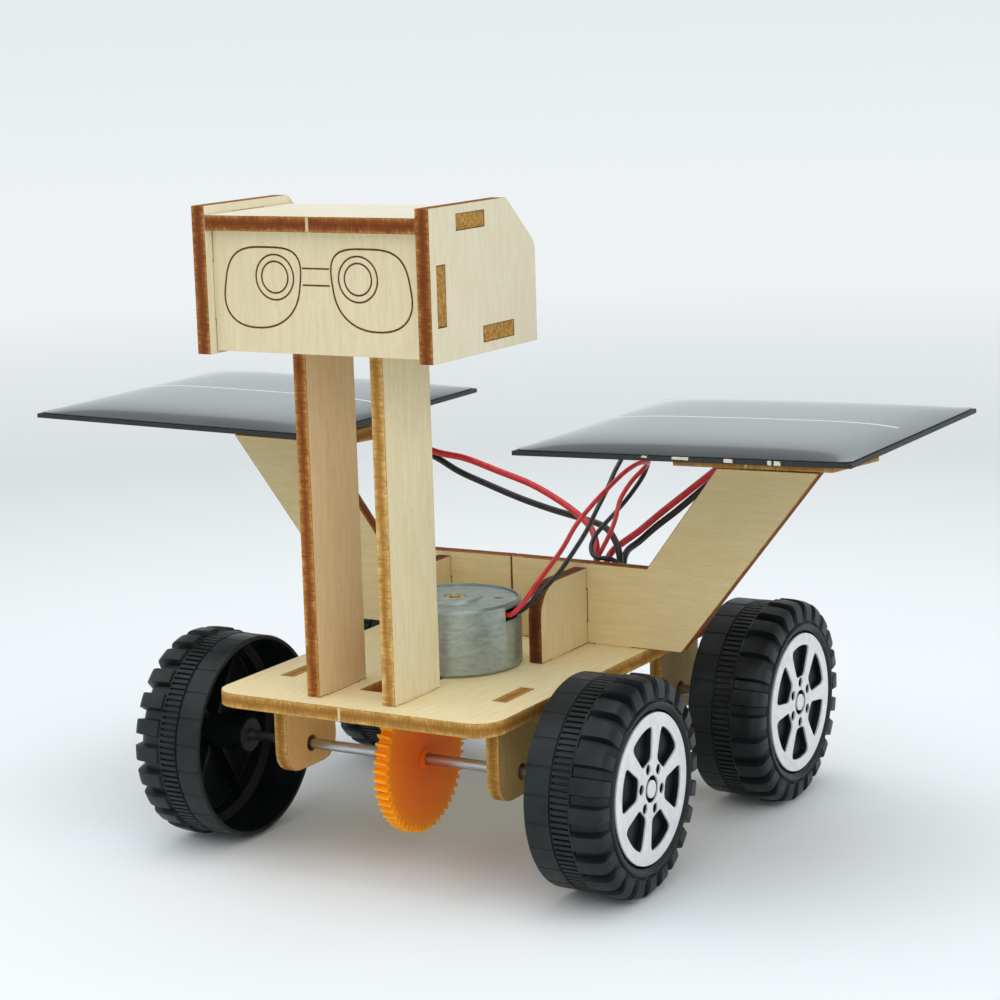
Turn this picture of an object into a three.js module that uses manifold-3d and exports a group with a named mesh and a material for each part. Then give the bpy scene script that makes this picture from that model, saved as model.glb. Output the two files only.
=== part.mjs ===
// Solar robot rover kit: a laser-cut plywood chassis on four toy wheels, with a box head on two
// neck columns, two raised wings that carry solar panels, and a geared motor on the front axle.
// Millimetres, +Z up, front towards -Y. Left and right are as seen from the front, right being +X.
// The origin is on the ground, under the middle of the bounding box.
import * as THREE from 'three';
import { mergeVertices } from 'three/addons/utils/BufferGeometryUtils.js';
import Module from 'manifold-3d';

const wasm = await Module();
wasm.setup();

// ---------------------------------------------------------------- driving dimensions
const PLY = 2.6;                  // plywood sheet thickness
const FIT = 0.1;                  // play round a tab in its slot
const SEAT = 0.05;                // gap between faces that rest on each other
const THROUGH = 1;                // how far a cutting tool runs past a face

const WHEEL_RADIUS = 19.4;        // over the lugs
const AXLE_Z = WHEEL_RADIUS;
const FRONT_AXLE_Y = -28.4;
const WHEELBASE = 62.5;
const REAR_AXLE_Y = FRONT_AXLE_Y + WHEELBASE;
const AXLE_RADIUS = 1;

const CHASSIS_TOP = AXLE_Z + 13.7;
const CHASSIS_UNDER = CHASSIS_TOP - PLY;
const CHASSIS_HALF_WIDTH = 28.8;
const CHASSIS_FRONT = -48.1;
const CHASSIS_REAR = 44.8;
const CHASSIS_CORNER = 5;
const DECK = CHASSIS_TOP + SEAT;  // what stands on the chassis starts here

const BRACKET_X = 22.2;           // mid-plane of each axle bracket
const BRACKET_HALF_LENGTH = 8;
const BRACKET_DROP = 4.2;         // below the axle
const BRACKET_CORNER = 4;
const BRACKET_TAB_HALF = 5;
const AXLE_HOLE_RADIUS = 1.5;

const SHAFT_X = 1.2;              // the motor shaft's and the worm's place in X
const GEAR_SLOT = { x0: -4.6, x1: 4.8, y0: -36.4, y1: -20.2 };
const WORM_HOLE_RADIUS = 4;

const COLUMN = { left: -9.26, right: 6.34, y0: -44.1, y1: -29.1, tab0: -41.6, tab1: -31.6 };
const HEAD_HALF_WIDTH = 23.5;
const HEAD_INNER = HEAD_HALF_WIDTH - PLY;
const HEAD = { front: -53.5, rear: -19.1, bottom: 94.3, top: 119.5, topRear: -28.6, slantLow: 111.1 };
const HEAD_TOP_Z = 115.35;        // underside of the head's top panel
const HEAD_FLOOR_Z = 96.1;        // underside of the head's bottom panel
const HEAD_FACE_Y = -51.55;       // front of the recessed face panel
const TOP_TAB = [-45, -36];
const FLOOR_TAB = [-37.2, -27.1];
const FACE_TAB = [100.1, 110.1];

const WING_Y = 10.3;              // front face of the wing frame
const WING_TAB_INNER = [3, 11];
const WING_TAB_OUTER = [17.6, 25.4];
const GUSSET_X = 14.8;
const GUSSET = { front: -7.4, top: CHASSIS_TOP + 14.5, corner: 6, tab0: -4, tab1: 4, peg0: 37.5, peg1: 43.5 };

const PANEL_SIZE = 62;
const PANEL_CENTRE = [52.5, 5.0];
const PANEL_PIVOT = [50.2, 11.6, 68.4];
const PANEL_ROLL = 1.1;           // degrees that the outer edge rises
const PANEL_TURN = 1.5;           // degrees that each solar board is turned on its foam pad
const MOUNT = { middle: 50.55, frontHalf: 15.65, rearHalf: 18.65, y0: 9.5, y1: 23.5 };
const FOAM = { halfX: 11, y0: 11, y1: 22.5, thick: 4.2 };
const BOARD_THICK = 0.8;
const EPOXY_THICK = 1.9;
const EPOXY_MARGIN = 0.4;

const MOTOR_RADIUS = 12.1;
const MOTOR_HEIGHT = 12.4;
const SHAFT_RADIUS = 1;

const GEAR_TEETH = 52;
const MODULE = 0.5;
const PITCH = Math.PI * MODULE;
const GEAR_PITCH_RADIUS = GEAR_TEETH * MODULE / 2;
const GEAR_TIP_RADIUS = GEAR_PITCH_RADIUS + 0.4;
const GEAR_ROOT_RADIUS = GEAR_PITCH_RADIUS - 0.7;
const GEAR_SPAN = { low: -0.3, high: 2.4 };   // the toothed disc's two faces, measured from the worm's mid-plane
const WORM_PITCH_RADIUS = 2.75;
const WORM_CREST_RADIUS = WORM_PITCH_RADIUS + 0.45;
const WORM_ROOT_RADIUS = WORM_PITCH_RADIUS - 0.65;
const WORM_BOTTOM = AXLE_Z - 0.4;
const WORM_TURNS = 4;
const MOTOR_Y = FRONT_AXLE_Y + GEAR_PITCH_RADIUS + WORM_PITCH_RADIUS;

const WHEEL_INNER_X = 33.55;      // open inner side of each wheel
const WHEEL_WIDTH = 14.9;
const AXLE_SHIFT = 0.6;           // the axles float sideways in their brackets, and rest this far to the right
const LUGS = 24;
const DISC_RADIUS = 13.2;
const DISC_THICK = 0.4;
const DISC_TURN = { front: [10, -12.5], rear: [40, 28.5] };  // degrees, left wheel then right

const RIGHT = 1;
const LEFT = -1;

// ---------------------------------------------------------------- materials
function material(color, roughness, metalness = 0) {
  return () => new THREE.MeshStandardMaterial({ color, roughness, metalness });
}
const plywood = material(0xd9c79c, 0.75);
const gloss = material(0x23272b, 0.12);
const boardBlack = material(0x17191b, 0.5);
const foamWhite = material(0xe9e7e0, 0.9);
const steel = material(0xb9bcbe, 0.3, 1);
const zincPlate = material(0x9aa19f, 0.42, 1);
const tyreBlack = material(0x202325, 0.48);
const foil = material(0xdfe1e3, 0.25, 0.8);
const orange = material(0xe8740f, 0.4);
const brass = material(0xc9a550, 0.35, 1);
const copper = material(0xb2673a, 0.35, 1);
const darkCore = material(0x4a4c50, 0.5, 0.8);
const magnetGrey = material(0x38393b, 0.7);
const whitePlastic = material(0xe8e6de, 0.5);
const redWire = material(0xc8242c, 0.4);
const blackWire = material(0x1b1c1e, 0.4);
const redCap = material(0xb5121b, 0.5);
const blackCap = material(0x141416, 0.5);

// ---------------------------------------------------------------- solids
function solid(geometry) {
  const plain = geometry.clone();
  plain.deleteAttribute('normal');
  plain.deleteAttribute('uv');
  const merged = mergeVertices(plain, 1e-4);
  const at = merged.attributes.position.array;
  const corners = [];
  let volume = 0;
  const indices = merged.index.array;
  for (let i = 0; i < indices.length; i += 3) {
    const [a, b, c] = [indices[i], indices[i + 1], indices[i + 2]];
    if (a === b || b === c || c === a) continue;
    const [p, q, r] = [a, b, c].map((k) => new THREE.Vector3().fromArray(at, 3 * k));
    volume += p.dot(q.cross(r));
    corners.push(a, b, c);
  }
  if (volume < 0) corners.reverse();
  return new wasm.Manifold(new wasm.Mesh({
    numProp: 3,
    vertProperties: new Float32Array(at),
    triVerts: new Uint32Array(corners),
  }));
}

function geometryOf(body) {
  const mesh = body.getMesh();
  const geometry = new THREE.BufferGeometry();
  geometry.setAttribute('position', new THREE.BufferAttribute(new Float32Array(mesh.vertProperties), 3));
  geometry.setIndex(new THREE.BufferAttribute(new Uint32Array(mesh.triVerts), 1));
  geometry.computeVertexNormals();
  return geometry;
}

function outline(points) {
  return new THREE.Shape(points.map(([u, v]) => new THREE.Vector2(u, v)));
}

// A polygon whose corners are rounded by the radius given as each point's third number.
function rounded(points, segments = 4) {
  const out = [];
  points.forEach(([u, v, radius], i) => {
    const here = new THREE.Vector2(u, v);
    if (!radius) {
      out.push(here);
      return;
    }
    const before = new THREE.Vector2(...points.at(i - 1)).sub(here).normalize();
    const after = new THREE.Vector2(...points[(i + 1) % points.length]).sub(here).normalize();
    const half = Math.acos(THREE.MathUtils.clamp(before.dot(after), -1, 1)) / 2;
    const reach = radius / Math.tan(half);
    const start = here.clone().addScaledVector(before, reach);
    const end = here.clone().addScaledVector(after, reach);
    const centre = here.clone().addScaledVector(before.clone().add(after).normalize(), radius / Math.sin(half));
    const from = Math.atan2(start.y - centre.y, start.x - centre.x);
    let sweep = Math.atan2(end.y - centre.y, end.x - centre.x) - from;
    if (sweep > Math.PI) sweep -= 2 * Math.PI;
    if (sweep < -Math.PI) sweep += 2 * Math.PI;
    for (let k = 0; k <= segments; k += 1) {
      const angle = from + sweep * k / segments;
      out.push(new THREE.Vector2(centre.x + radius * Math.cos(angle), centre.y + radius * Math.sin(angle)));
    }
  });
  return new THREE.Shape(out);
}

// Sheets: the outline's two axes are named first, then where the sheet starts and how thick it is.
const AXES = {
  xy: new THREE.Matrix4(),
  yz: new THREE.Matrix4().makeBasis(
    new THREE.Vector3(0, 1, 0), new THREE.Vector3(0, 0, 1), new THREE.Vector3(1, 0, 0)),
  xz: new THREE.Matrix4().makeBasis(
    new THREE.Vector3(1, 0, 0), new THREE.Vector3(0, 0, 1), new THREE.Vector3(0, -1, 0)),
};

function sheet(axes, shape, start, thickness, steps = 1) {
  const geometry = new THREE.ExtrudeGeometry(shape, { depth: thickness, bevelEnabled: false, steps, curveSegments: 4 });
  geometry.translate(0, 0, axes === 'xz' ? -(start + thickness) : start);
  geometry.applyMatrix4(AXES[axes]);
  return solid(geometry);
}

function box(x0, x1, y0, y1, z0, z1) {
  const geometry = new THREE.BoxGeometry(x1 - x0, y1 - y0, z1 - z0);
  geometry.translate((x0 + x1) / 2, (y0 + y1) / 2, (z0 + z1) / 2);
  return solid(geometry);
}

// A turned body: profile points are [radius, height], round Z.
function turned(profile, segments) {
  const points = profile.map(([r, h]) => new THREE.Vector2(r, h));
  const geometry = new THREE.LatheGeometry(points, segments);
  geometry.rotateX(Math.PI / 2);
  return solid(geometry);
}

function rod(radius, z0, z1, segments) {
  return turned([[0, z0], [radius, z0], [radius, z1], [0, z1]], segments);
}

// Lays a body that was turned round Z along X, with its heights running towards +X.
function alongX(body, x, y, z) {
  return body.rotate([0, 90, 0]).translate([x, y, z]);
}

function cut(body, ...tools) {
  return tools.reduce((left, tool) => left.subtract(tool), body);
}

function join(body, ...more) {
  return more.reduce((whole, piece) => whole.add(piece), body);
}

const rover = new THREE.Group();

function place(name, body, finish, parent = rover) {
  const mesh = new THREE.Mesh(geometryOf(body), finish());
  mesh.name = name;
  parent.add(mesh);
  return mesh;
}

function sideName(base, side) {
  return `${base}_${side === RIGHT ? 'right' : 'left'}`;
}

// Slot through a sheet, a little larger than the tab that sits in it.
function slot(x0, x1, y0, y1, z0, z1) {
  return box(x0 - FIT, x1 + FIT, y0 - FIT, y1 + FIT, z0 - FIT, z1 + FIT);
}

// ---------------------------------------------------------------- chassis and axle brackets
function chassisPlate() {
  const w = CHASSIS_HALF_WIDTH;
  const r = CHASSIS_CORNER;
  const plate = sheet('xy', rounded([
    [-w, CHASSIS_FRONT, r], [w, CHASSIS_FRONT, r], [w, CHASSIS_REAR, r], [-w, CHASSIS_REAR, r],
  ]), CHASSIS_UNDER, PLY);
  const low = CHASSIS_UNDER - THROUGH;
  const high = CHASSIS_TOP + THROUGH;
  const holes = [
    box(GEAR_SLOT.x0, GEAR_SLOT.x1, GEAR_SLOT.y0, GEAR_SLOT.y1, low, high),
    rod(WORM_HOLE_RADIUS, low, high, 16).translate([SHAFT_X, MOTOR_Y, 0]),
  ];
  for (const side of [LEFT, RIGHT]) {
    for (const axleY of [FRONT_AXLE_Y, REAR_AXLE_Y]) {
      const x = side * BRACKET_X;
      holes.push(slot(x - PLY / 2, x + PLY / 2, axleY - BRACKET_TAB_HALF, axleY + BRACKET_TAB_HALF, low, high));
    }
    for (const [u, v] of [WING_TAB_INNER, WING_TAB_OUTER]) {
      holes.push(slot(Math.min(side * u, side * v), Math.max(side * u, side * v), WING_Y, WING_Y + PLY, low, high));
    }
    const gussetX = side * GUSSET_X;
    holes.push(slot(gussetX - PLY / 2, gussetX + PLY / 2, GUSSET.tab0, GUSSET.tab1, low, high));
  }
  for (const x of [COLUMN.left, COLUMN.right]) {
    holes.push(slot(x - PLY / 2, x + PLY / 2, COLUMN.tab0, COLUMN.tab1, low, high));
  }
  return cut(plate, ...holes);
}

function axleBracket(side, axleY) {
  const low = AXLE_Z - BRACKET_DROP;
  const top = CHASSIS_UNDER - SEAT;
  const [a, b] = [axleY - BRACKET_HALF_LENGTH, axleY + BRACKET_HALF_LENGTH];
  const [c, d] = [axleY - BRACKET_TAB_HALF, axleY + BRACKET_TAB_HALF];
  const shape = rounded([
    [a, low, BRACKET_CORNER], [b, low, BRACKET_CORNER], [b, top],
    [d, top], [d, CHASSIS_TOP], [c, CHASSIS_TOP], [c, top], [a, top],
  ]);
  const x = side * BRACKET_X - PLY / 2;
  const hole = rod(AXLE_HOLE_RADIUS, -THROUGH, PLY + THROUGH, 16);
  return cut(sheet('yz', shape, x, PLY), alongX(hole, x, axleY, AXLE_Z));
}

place('chassis_plate', chassisPlate(), plywood);
for (const side of [LEFT, RIGHT]) {
  place(sideName('front_axle_bracket', side), axleBracket(side, FRONT_AXLE_Y), plywood);
  place(sideName('rear_axle_bracket', side), axleBracket(side, REAR_AXLE_Y), plywood);
}

// ---------------------------------------------------------------- neck and head
function neckColumn(x) {
  const { y0, y1, tab0, tab1 } = COLUMN;
  const top = HEAD_FLOOR_Z - SEAT;
  const shape = outline([
    [y0, DECK], [tab0, DECK], [tab0, CHASSIS_UNDER], [tab1, CHASSIS_UNDER], [tab1, DECK], [y1, DECK],
    [y1, top], [tab1, top], [tab1, top + PLY], [tab0, top + PLY], [tab0, top], [y0, top],
  ]);
  return sheet('yz', shape, x - PLY / 2, PLY);
}

function headSide(side) {
  const shape = rounded([
    [HEAD.front, HEAD.bottom], [HEAD.rear, HEAD.bottom], [HEAD.rear, HEAD.slantLow, 3],
    [HEAD.topRear, HEAD.top, 1.5], [HEAD.front, HEAD.top],
  ]);
  const x0 = side === RIGHT ? HEAD_INNER : -HEAD_HALF_WIDTH;
  const [a, b] = [x0 - THROUGH, x0 + PLY + THROUGH];
  return cut(sheet('yz', shape, x0, PLY),
    slot(a, b, ...TOP_TAB, HEAD_TOP_Z, HEAD_TOP_Z + PLY),
    slot(a, b, HEAD_FACE_Y, HEAD_FACE_Y + PLY, ...FACE_TAB),
    slot(a, b, ...FLOOR_TAB, HEAD_FLOOR_Z, HEAD_FLOOR_Z + PLY));
}

// A panel between the head's sides, with one tab through each side; u is X, v the other axis.
function crossPanel(axes, v0, v1, tab, start) {
  const inner = HEAD_INNER - SEAT;
  const outer = HEAD_HALF_WIDTH;
  const [t0, t1] = tab;
  return sheet(axes, outline([
    [-inner, v0], [inner, v0], [inner, t0], [outer, t0], [outer, t1], [inner, t1],
    [inner, v1], [-inner, v1], [-inner, t1], [-outer, t1], [-outer, t0], [-inner, t0],
  ]), start, PLY);
}

function headFloor() {
  const low = HEAD_FLOOR_Z - THROUGH;
  const high = HEAD_FLOOR_Z + PLY + THROUGH;
  const slots = [COLUMN.left, COLUMN.right].map((x) => (
    slot(x - PLY / 2, x + PLY / 2, COLUMN.tab0, COLUMN.tab1, low, high)));
  return cut(crossPanel('xy', HEAD_FACE_Y + PLY + SEAT, HEAD.rear - SEAT, FLOOR_TAB, HEAD_FLOOR_Z), ...slots);
}

place('neck_column_left', neckColumn(COLUMN.left), plywood);
place('neck_column_right', neckColumn(COLUMN.right), plywood);
place('head_side_left', headSide(LEFT), plywood);
place('head_side_right', headSide(RIGHT), plywood);
place('head_top_panel', crossPanel('xy', HEAD.front + SEAT, HEAD.topRear, TOP_TAB, HEAD_TOP_Z), plywood);
place('head_face_panel', crossPanel('xz', HEAD.bottom + 0.5, HEAD_TOP_Z - SEAT, FACE_TAB, HEAD_FACE_Y), plywood);
place('head_bottom_panel', headFloor(), plywood);

// ---------------------------------------------------------------- wing frame
function wingHalf(side) {
  const seam = 0.1;
  const [a, b] = WING_TAB_INNER;
  const [c, d] = WING_TAB_OUTER;
  const half = [
    [seam, DECK], [a, DECK], [a, CHASSIS_UNDER], [b, CHASSIS_UNDER], [b, DECK],
    [c, DECK], [c, CHASSIS_UNDER], [d, CHASSIS_UNDER], [d, DECK], [35.6, DECK],
    [63.3, 68.4], [43.3, 68.1], [28.8, 48.4], [seam, 48.6],
  ];
  const points = side === RIGHT ? half : half.map(([x, z]) => [-x, z]).reverse();
  const x = side * GUSSET_X;
  const peg = slot(x - PLY / 2, x + PLY / 2, WING_Y - THROUGH, WING_Y + PLY + THROUGH, GUSSET.peg0, GUSSET.peg1);
  return cut(sheet('xz', outline(points), WING_Y, PLY), peg);
}

function gusset(side) {
  const { front, top, corner, tab0, tab1, peg0, peg1 } = GUSSET;
  const rear = WING_Y - SEAT;
  const shape = rounded([
    [front, DECK], [tab0, DECK], [tab0, CHASSIS_UNDER], [tab1, CHASSIS_UNDER], [tab1, DECK], [rear, DECK],
    [rear, peg0], [WING_Y + PLY, peg0], [WING_Y + PLY, peg1], [rear, peg1], [rear, top], [front, top, corner],
  ]);
  return sheet('yz', shape, side * GUSSET_X - PLY / 2, PLY);
}

for (const side of [LEFT, RIGHT]) {
  place(sideName('wing_half', side), wingHalf(side), plywood);
  place(sideName('wing_gusset', side), gusset(side), plywood);
}

// ---------------------------------------------------------------- solar panels
// Cast resin lens over the cells: a flat-topped pillow with a sloping rim.
function epoxyDome(z) {
  const half = PANEL_SIZE / 2 - EPOXY_MARGIN;
  const square = (h) => rounded([[-h, -h, 2], [h, -h, 2], [h, h, 2], [-h, h, 2]]);
  const slope = 2.4;
  const rim = 0.35;
  const geometry = new THREE.ExtrudeGeometry(square(half), { depth: EPOXY_THICK, bevelEnabled: false, steps: 2 });
  const at = geometry.attributes.position;
  for (let i = 0; i < at.count; i += 1) {
    const layer = Math.round(2 * at.getZ(i) / EPOXY_THICK);
    const scale = layer === 2 ? 1 - slope / half : 1;
    at.setXYZ(i, at.getX(i) * scale, at.getY(i) * scale, [0, rim, EPOXY_THICK][layer]);
  }
  geometry.translate(...PANEL_CENTRE, z);
  return solid(geometry);
}

for (const side of [LEFT, RIGHT]) {
  const stack = new THREE.Group();
  const [px, py, pz] = PANEL_PIVOT;
  stack.position.set(side * px, py, pz);
  stack.rotation.set(0, THREE.MathUtils.degToRad(-side * PANEL_ROLL), 0);
  rover.add(stack);
  const mirrored = (body) => (side === RIGHT ? body : body.mirror([1, 0, 0])).translate([-side * px, -py, -pz]);
  const mountTop = pz + 0.1 + PLY;
  const foamLow = mountTop + 0.2;
  const boardLow = foamLow + FOAM.thick + 0.2;
  const [cx, cy] = PANEL_CENTRE;
  const h = PANEL_SIZE / 2;
  const mount = sheet('xy', outline([
    [MOUNT.middle - MOUNT.frontHalf, MOUNT.y0], [MOUNT.middle + MOUNT.frontHalf, MOUNT.y0],
    [MOUNT.middle + MOUNT.rearHalf, MOUNT.y1], [MOUNT.middle - MOUNT.rearHalf, MOUNT.y1],
  ]), pz + 0.1, PLY);
  const foam = box(px - FOAM.halfX, px + FOAM.halfX, FOAM.y0, FOAM.y1, foamLow, foamLow + FOAM.thick);
  const onFoam = (body) => body.translate([-cx, -cy, 0]).rotate([0, 0, side * PANEL_TURN]).translate([cx, cy, 0]);
  const board = onFoam(box(cx - h, cx + h, cy - h, cy + h, boardLow, boardLow + BOARD_THICK));
  const epoxy = onFoam(epoxyDome(boardLow + BOARD_THICK + 0.1));
  place(sideName('panel_mount', side), mirrored(mount), plywood, stack);
  place(sideName('foam_pad', side), mirrored(foam), foamWhite, stack);
  place(sideName('solar_board', side), mirrored(board), boardBlack, stack);
  place(sideName('solar_epoxy', side), mirrored(epoxy), gloss, stack);
}

// ---------------------------------------------------------------- motor
const MOTOR_WALL = 0.6;
const MOTOR_FLOOR = DECK;
const MOTOR_TOP = MOTOR_FLOOR + MOTOR_HEIGHT;
const END_PLATE_Z = MOTOR_TOP - 1.4;
const BUSHING_RADIUS = 2;
const NOTCH = { z0: MOTOR_TOP - 3.2, halfWidth: 2.2 };

function motorCan() {
  const inner = MOTOR_RADIUS - MOTOR_WALL;
  const floor = MOTOR_FLOOR + 0.8;
  const bore = BUSHING_RADIUS + 0.1;
  const cup = turned([
    [bore, MOTOR_FLOOR], [MOTOR_RADIUS - 0.6, MOTOR_FLOOR], [MOTOR_RADIUS, MOTOR_FLOOR + 0.6],
    [MOTOR_RADIUS, MOTOR_TOP - 0.5], [MOTOR_RADIUS - 0.4, MOTOR_TOP], [inner, MOTOR_TOP],
    [inner, floor], [bore, floor], [bore, MOTOR_FLOOR],
  ], 32);
  const w = NOTCH.halfWidth;
  return cut(cup, box(inner - 2, MOTOR_RADIUS + 2, -w, w, NOTCH.z0, MOTOR_TOP - 1));
}

function motorEndPlate() {
  const outer = MOTOR_RADIUS - MOTOR_WALL - 0.1;
  const bore = BUSHING_RADIUS + 0.1;
  const plate = turned([
    [bore, END_PLATE_Z], [outer, END_PLATE_Z], [outer, END_PLATE_Z + 1], [5, END_PLATE_Z + 1],
    [4.6, END_PLATE_Z + 1.5], [bore, END_PLATE_Z + 1.5], [bore, END_PLATE_Z],
  ], 24);
  const holes = [30, 150, 270].map((angle) => (
    rod(0.9, END_PLATE_Z - THROUGH, END_PLATE_Z + 3, 8).translate([8, 0, 0]).rotate([0, 0, angle])));
  return cut(plate, ...holes);
}

function ring(inner, outer, z0, z1, segments) {
  return turned([[inner, z0], [outer, z0], [outer, z1], [inner, z1], [inner, z0]], segments);
}

// Three-pole rotor: a hub, three necks and three pole shoes.
const POLE_ANGLES = [90, 210, 330];
const CORE_Z = [MOTOR_FLOOR + 3.6, MOTOR_FLOOR + 7.4];
function rotorCore() {
  const [z0, z1] = CORE_Z;
  const hub = ring(SHAFT_RADIUS + 0.1, 2.4, z0, z1, 12);
  const poles = POLE_ANGLES.map((angle) => {
    const neck = box(2, 7, -0.9, 0.9, z0, z1);
    const shoeOutline = [];
    const spread = THREE.MathUtils.degToRad(44);
    for (let k = 0; k <= 6; k += 1) {
      const a = -spread + 2 * spread * k / 6;
      shoeOutline.push([8.6 * Math.cos(a), 8.6 * Math.sin(a)]);
    }
    for (let k = 6; k >= 0; k -= 1) {
      const a = -spread + 2 * spread * k / 6;
      shoeOutline.push([6.9 * Math.cos(a), 6.9 * Math.sin(a)]);
    }
    return join(neck, sheet('xy', outline(shoeOutline), z0, z1 - z0)).rotate([0, 0, angle]);
  });
  return join(hub, ...poles);
}

function rotorCoil(angle) {
  const [z0, z1] = CORE_Z;
  const outer = box(3, 6.2, -1.8, 1.8, z0 - 1, z1 + 1);
  const hole = box(2, 8, -1.0, 1.0, z0 - 0.1, z1 + 0.1);
  return cut(outer, hole).rotate([0, 0, angle]);
}

const motor = new THREE.Group();
motor.position.set(SHAFT_X, MOTOR_Y, 0);
rover.add(motor);
place('motor_can', motorCan(), zincPlate, motor);
place('motor_end_plate', motorEndPlate(), zincPlate, motor);
place('motor_magnet_ring', ring(9.3, 11.3, MOTOR_FLOOR + 1.2, MOTOR_FLOOR + 8.8, 24), magnetGrey, motor);
place('motor_lower_bushing', ring(SHAFT_RADIUS + 0.1, BUSHING_RADIUS, MOTOR_FLOOR, MOTOR_FLOOR + 2, 12), brass, motor);
place('motor_upper_bushing', ring(SHAFT_RADIUS + 0.1, BUSHING_RADIUS, END_PLATE_Z, MOTOR_TOP, 12), brass, motor);
place('rotor_core', rotorCore(), darkCore, motor);
POLE_ANGLES.forEach((angle, i) => place(`rotor_coil_${i + 1}`, rotorCoil(angle), copper, motor));
place('commutator', ring(SHAFT_RADIUS + 0.1, 1.9, CORE_Z[1] + 1.2, END_PLATE_Z - 0.3, 12), brass, motor);
for (const side of [LEFT, RIGHT]) {
  const [z0, z1] = [END_PLATE_Z - 1.6, END_PLATE_Z - 0.1];
  const x = side * 2.2;
  place(sideName('brush', side), box(x - 0.2, x + 0.2, -1.2, 7.5, z0, z1), copper, motor);
}
place('motor_shaft', rod(SHAFT_RADIUS, WORM_BOTTOM - 0.2, MOTOR_TOP - 0.3, 12), steel, motor);

// ---------------------------------------------------------------- worm and gear
// Single-start right-hand worm. Its section is a cam, and the section turns once each pitch.
function worm() {
  const sides = 10;
  const crest = WORM_CREST_RADIUS;
  const root = WORM_ROOT_RADIUS;
  const radii = [crest, crest, root, root, root, root, root, root, root, crest];
  const section = outline(radii.map((r, k) => {
    const angle = 2 * Math.PI * k / sides;
    return [r * Math.cos(angle), r * Math.sin(angle)];
  }));
  const length = WORM_TURNS * PITCH;
  const geometry = new THREE.ExtrudeGeometry(section, {
    depth: length, bevelEnabled: false, steps: WORM_TURNS * sides,
  });
  const at = geometry.attributes.position;
  const towardsGear = -Math.PI / 2;
  for (let i = 0; i < at.count; i += 1) {
    const height = WORM_BOTTOM + at.getZ(i);
    const turn = towardsGear + 2 * Math.PI * (height - AXLE_Z) / PITCH;
    const [x, y] = [at.getX(i), at.getY(i)];
    at.setXYZ(i, x * Math.cos(turn) - y * Math.sin(turn), x * Math.sin(turn) + y * Math.cos(turn), height);
  }
  return cut(solid(geometry), rod(SHAFT_RADIUS + 0.1, 0, MOTOR_TOP, 12));
}

// Toothed rim round +Z, a tooth space at angle 0, with the teeth at the worm's lead angle.
function toothedRim() {
  const points = [];
  const step = 2 * Math.PI / GEAR_TEETH;
  const tip = 0.16 / GEAR_TIP_RADIUS;
  const foot = 0.5 / GEAR_ROOT_RADIUS;
  for (let k = 0; k < GEAR_TEETH; k += 1) {
    const middle = (k + 0.5) * step;
    for (const [radius, offset] of [
      [GEAR_ROOT_RADIUS, -foot], [GEAR_TIP_RADIUS, -tip], [GEAR_TIP_RADIUS, tip], [GEAR_ROOT_RADIUS, foot],
    ]) {
      points.push([radius * Math.cos(middle + offset), radius * Math.sin(middle + offset)]);
    }
  }
  const depth = GEAR_SPAN.high - GEAR_SPAN.low;
  const geometry = new THREE.ExtrudeGeometry(outline(points), { depth, bevelEnabled: false });
  const at = geometry.attributes.position;
  const lead = PITCH / (2 * Math.PI * WORM_PITCH_RADIUS);
  for (let i = 0; i < at.count; i += 1) {
    const height = at.getZ(i) + GEAR_SPAN.low;
    const turn = lead * height / GEAR_PITCH_RADIUS;
    const [x, y] = [at.getX(i), at.getY(i)];
    at.setXYZ(i, x * Math.cos(turn) - y * Math.sin(turn), x * Math.sin(turn) + y * Math.cos(turn), height);
  }
  return solid(geometry);
}

function driveGear() {
  const hub = turned([
    [0, GEAR_SPAN.low - 1.6], [3.2, GEAR_SPAN.low - 1.6], [3.2, 1], [2, 1], [2, GEAR_SPAN.high + 0.4],
    [1.7, GEAR_SPAN.high + 0.6], [0, GEAR_SPAN.high + 0.6],
  ], 32);
  const bore = rod(AXLE_RADIUS + 0.1, -8, 8, 12);
  const gear = cut(join(toothedRim(), hub), bore);
  // Z becomes +X and the tooth space at angle 0 comes to face +Y.
  return gear.rotate([0, 0, 90]).rotate([0, 90, 0]).translate([SHAFT_X, FRONT_AXLE_Y, AXLE_Z]);
}

place('worm', worm(), brass, motor);
place('drive_gear', driveGear(), orange);

// ---------------------------------------------------------------- axles and wheels
const AXLE_HALF_LENGTH = WHEEL_INNER_X + 12;
for (const [name, y] of [['front_axle', FRONT_AXLE_Y], ['rear_axle', REAR_AXLE_Y]]) {
  place(name, alongX(rod(AXLE_RADIUS, -AXLE_HALF_LENGTH, AXLE_HALF_LENGTH, 12), AXLE_SHIFT, y, AXLE_Z), steel);
}

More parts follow.
